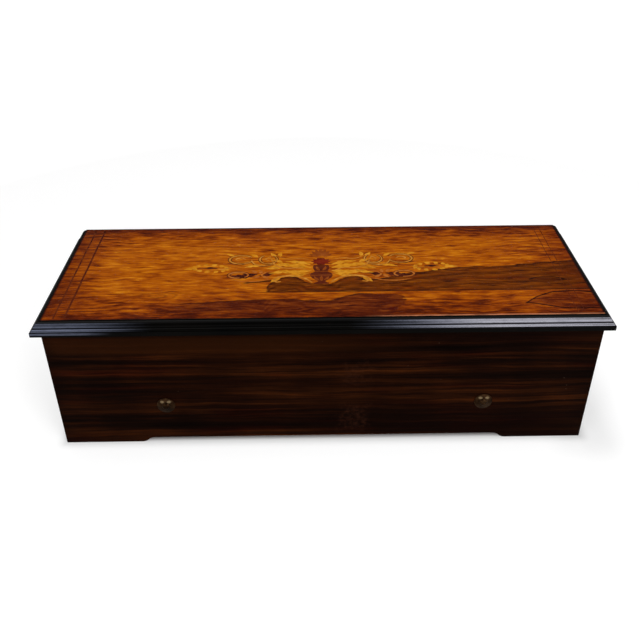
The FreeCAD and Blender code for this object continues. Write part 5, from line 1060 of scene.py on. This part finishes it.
def floor_paper():
    """Paper that the camera sees as white, but for a painted soft shadow round the case, held back in its glow, that
    reaches further at its right.
    """
    paper = bpy.data.materials.new("floor_paper")
    paper.use_nodes = True
    paper.node_tree.nodes.clear()
    n = Nodes(paper.node_tree)
    place = n.node("ShaderNodeTexCoord").outputs["Object"]
    x, y, _ = n.split(place)
    reach = n.node("ShaderNodeVectorMath", operation="LENGTH")
    n.feed(reach.inputs[0], place)
    rays = n.node("ShaderNodeLightPath").outputs
    mirrored_ray = n.most(rays["Is Transmission Ray"], rays["Is Glossy Ray"])
    seen = n.most(rays["Is Camera Ray"], mirrored_ray)

    beside_x = n.minus(n.math("ABSOLUTE", x), FOOT_HALF_X)
    beside_y = n.minus(n.math("ABSOLUTE", n.minus(y, FOOT_MIDDLE_Y)), FOOT_HALF_Y)
    outside = n.math("SQRT", n.squares(n.most(beside_x, 0), n.most(beside_y, 0)))
    inside = n.times(n.least(n.most(beside_x, beside_y), 0), 2)
    # painted shadow: the glow rises from nothing under the case's edge, is held back in a halo beside it, and is full
    # far away
    painted_contact_shadow = n.span(n.plus(outside, inside), -0.016, 0.014, 0.0, 0.66)
    painted_halo_shadow = n.span(outside, 0.0, 0.075, 0.26, 0.0)
    to_right = n.span(x, 0.24, 0.31, smooth=False)
    near = n.times(rays["Is Camera Ray"], n.minus(painted_contact_shadow, n.times(painted_halo_shadow, to_right)))
    far = n.span(reach.outputs["Value"], 0.42, 1.1)

    diffuse = n.node("ShaderNodeBsdfDiffuse")
    n.feed(diffuse.inputs["Color"], n.mix(seen, (0.8, 0.8, 0.8, 1), (0.45, 0.45, 0.45, 1)))
    glow = n.node("ShaderNodeEmission")
    n.feed(glow.inputs["Color"], WHITE)
    n.feed(glow.inputs["Strength"], n.times(n.most(near, far), seen))
    both = n.node("ShaderNodeAddShader")
    n.feed(both.inputs[0], diffuse.outputs[0])
    n.feed(both.inputs[1], glow.outputs[0])
    n.feed(n.node("ShaderNodeOutputMaterial").inputs["Surface"], both.outputs[0])
    return paper


floor_mesh = bpy.data.meshes.new("floor")
floor_mesh.from_pydata([(-9, -7, 0), (9, -7, 0), (9, 11, 0), (-9, 11, 0)], [], [(0, 1, 2, 3)])
floor_mesh.materials.append(floor_paper())
floor = bpy.data.objects.new("floor", floor_mesh)
bpy.context.scene.collection.objects.link(floor)

# a sky that is white at the horizon and dim above, so that the polish mirrors no flat white
world = bpy.data.worlds.new("studio")
bpy.context.scene.world = world
world.use_nodes = True
sky = Nodes(world.node_tree)
direction = sky.split(sky.node("ShaderNodeTexCoord").outputs["Generated"])
background = world.node_tree.nodes["Background"]
sky.feed(background.inputs["Color"], WHITE)
sky.feed(background.inputs["Strength"], sky.span(direction["Z"], 0.10, 0.30, 1.0, 0.02))


def softbox(name, place, aim, width, depth, power, mirrored_in_gloss=True):
    """An area light. The fills light the wood and the floor but aren't mirrored in the polish."""
    light = bpy.data.lights.new(name, "AREA")
    light.shape = "RECTANGLE"
    light.size = width
    light.size_y = depth
    light.energy = power
    lamp = bpy.data.objects.new(name, light)
    bpy.context.scene.collection.objects.link(lamp)
    lamp.location = place
    lamp.rotation_euler = (Vector(aim) - Vector(place)).to_track_quat("-Z", "Y").to_euler()
    lamp.visible_glossy = mirrored_in_gloss
    lamp.visible_camera = False


LEFT = {"place": (-0.69, -1.106, 0.80), "aim": (-0.25, -0.1, 0.15), "width": 0.36, "depth": 1.6}
RIGHT = {"place": (0.52, -1.106, 0.80), "aim": (0.17, -0.1, 0.15), "width": 0.5, "depth": 1.6}
softbox("overhead", place=(0, 0.1, 2.4), aim=(0, 0, 0.1), width=3.0, depth=3.0, power=50)
softbox("box_left", **LEFT, power=1.45)
softbox("box_right", **RIGHT, power=4.6)
softbox("fill_left", **LEFT, power=3.9, mirrored_in_gloss=False)
softbox("fill_right", **RIGHT, power=12.5, mirrored_in_gloss=False)

# ---- camera

CAMERA_PLACE = (-0.01294, -0.72011, 0.57095)
FOCAL_PIXELS = 762.9
PICTURE_PIXELS = 640
SENSOR_WIDTH = 36
yaw = math.radians(0.83)
pitch = math.radians(33.6)
roll = math.radians(-0.22)
forward = Vector((math.sin(yaw) * math.cos(pitch), math.cos(yaw) * math.cos(pitch), -math.sin(pitch)))
right = Vector((math.cos(yaw), -math.sin(yaw), 0))
up = right.cross(forward)
right_rolled = math.cos(roll) * right + math.sin(roll) * up
up_rolled = -math.sin(roll) * right + math.cos(roll) * up
turned = Matrix((right_rolled, up_rolled, -forward)).transposed().to_4x4()
camera_data = bpy.data.cameras.new("camera")
camera_data.sensor_fit = "HORIZONTAL"
camera_data.sensor_width = SENSOR_WIDTH
camera_data.lens = FOCAL_PIXELS / PICTURE_PIXELS * SENSOR_WIDTH
camera_data.clip_start = 0.01
camera_data.clip_end = 50
camera = bpy.data.objects.new("camera", camera_data)
bpy.context.scene.collection.objects.link(camera)
camera.matrix_world = Matrix.Translation(CAMERA_PLACE) @ turned
bpy.context.scene.camera = camera
bpy.context.scene.view_settings.view_transform = "Standard"
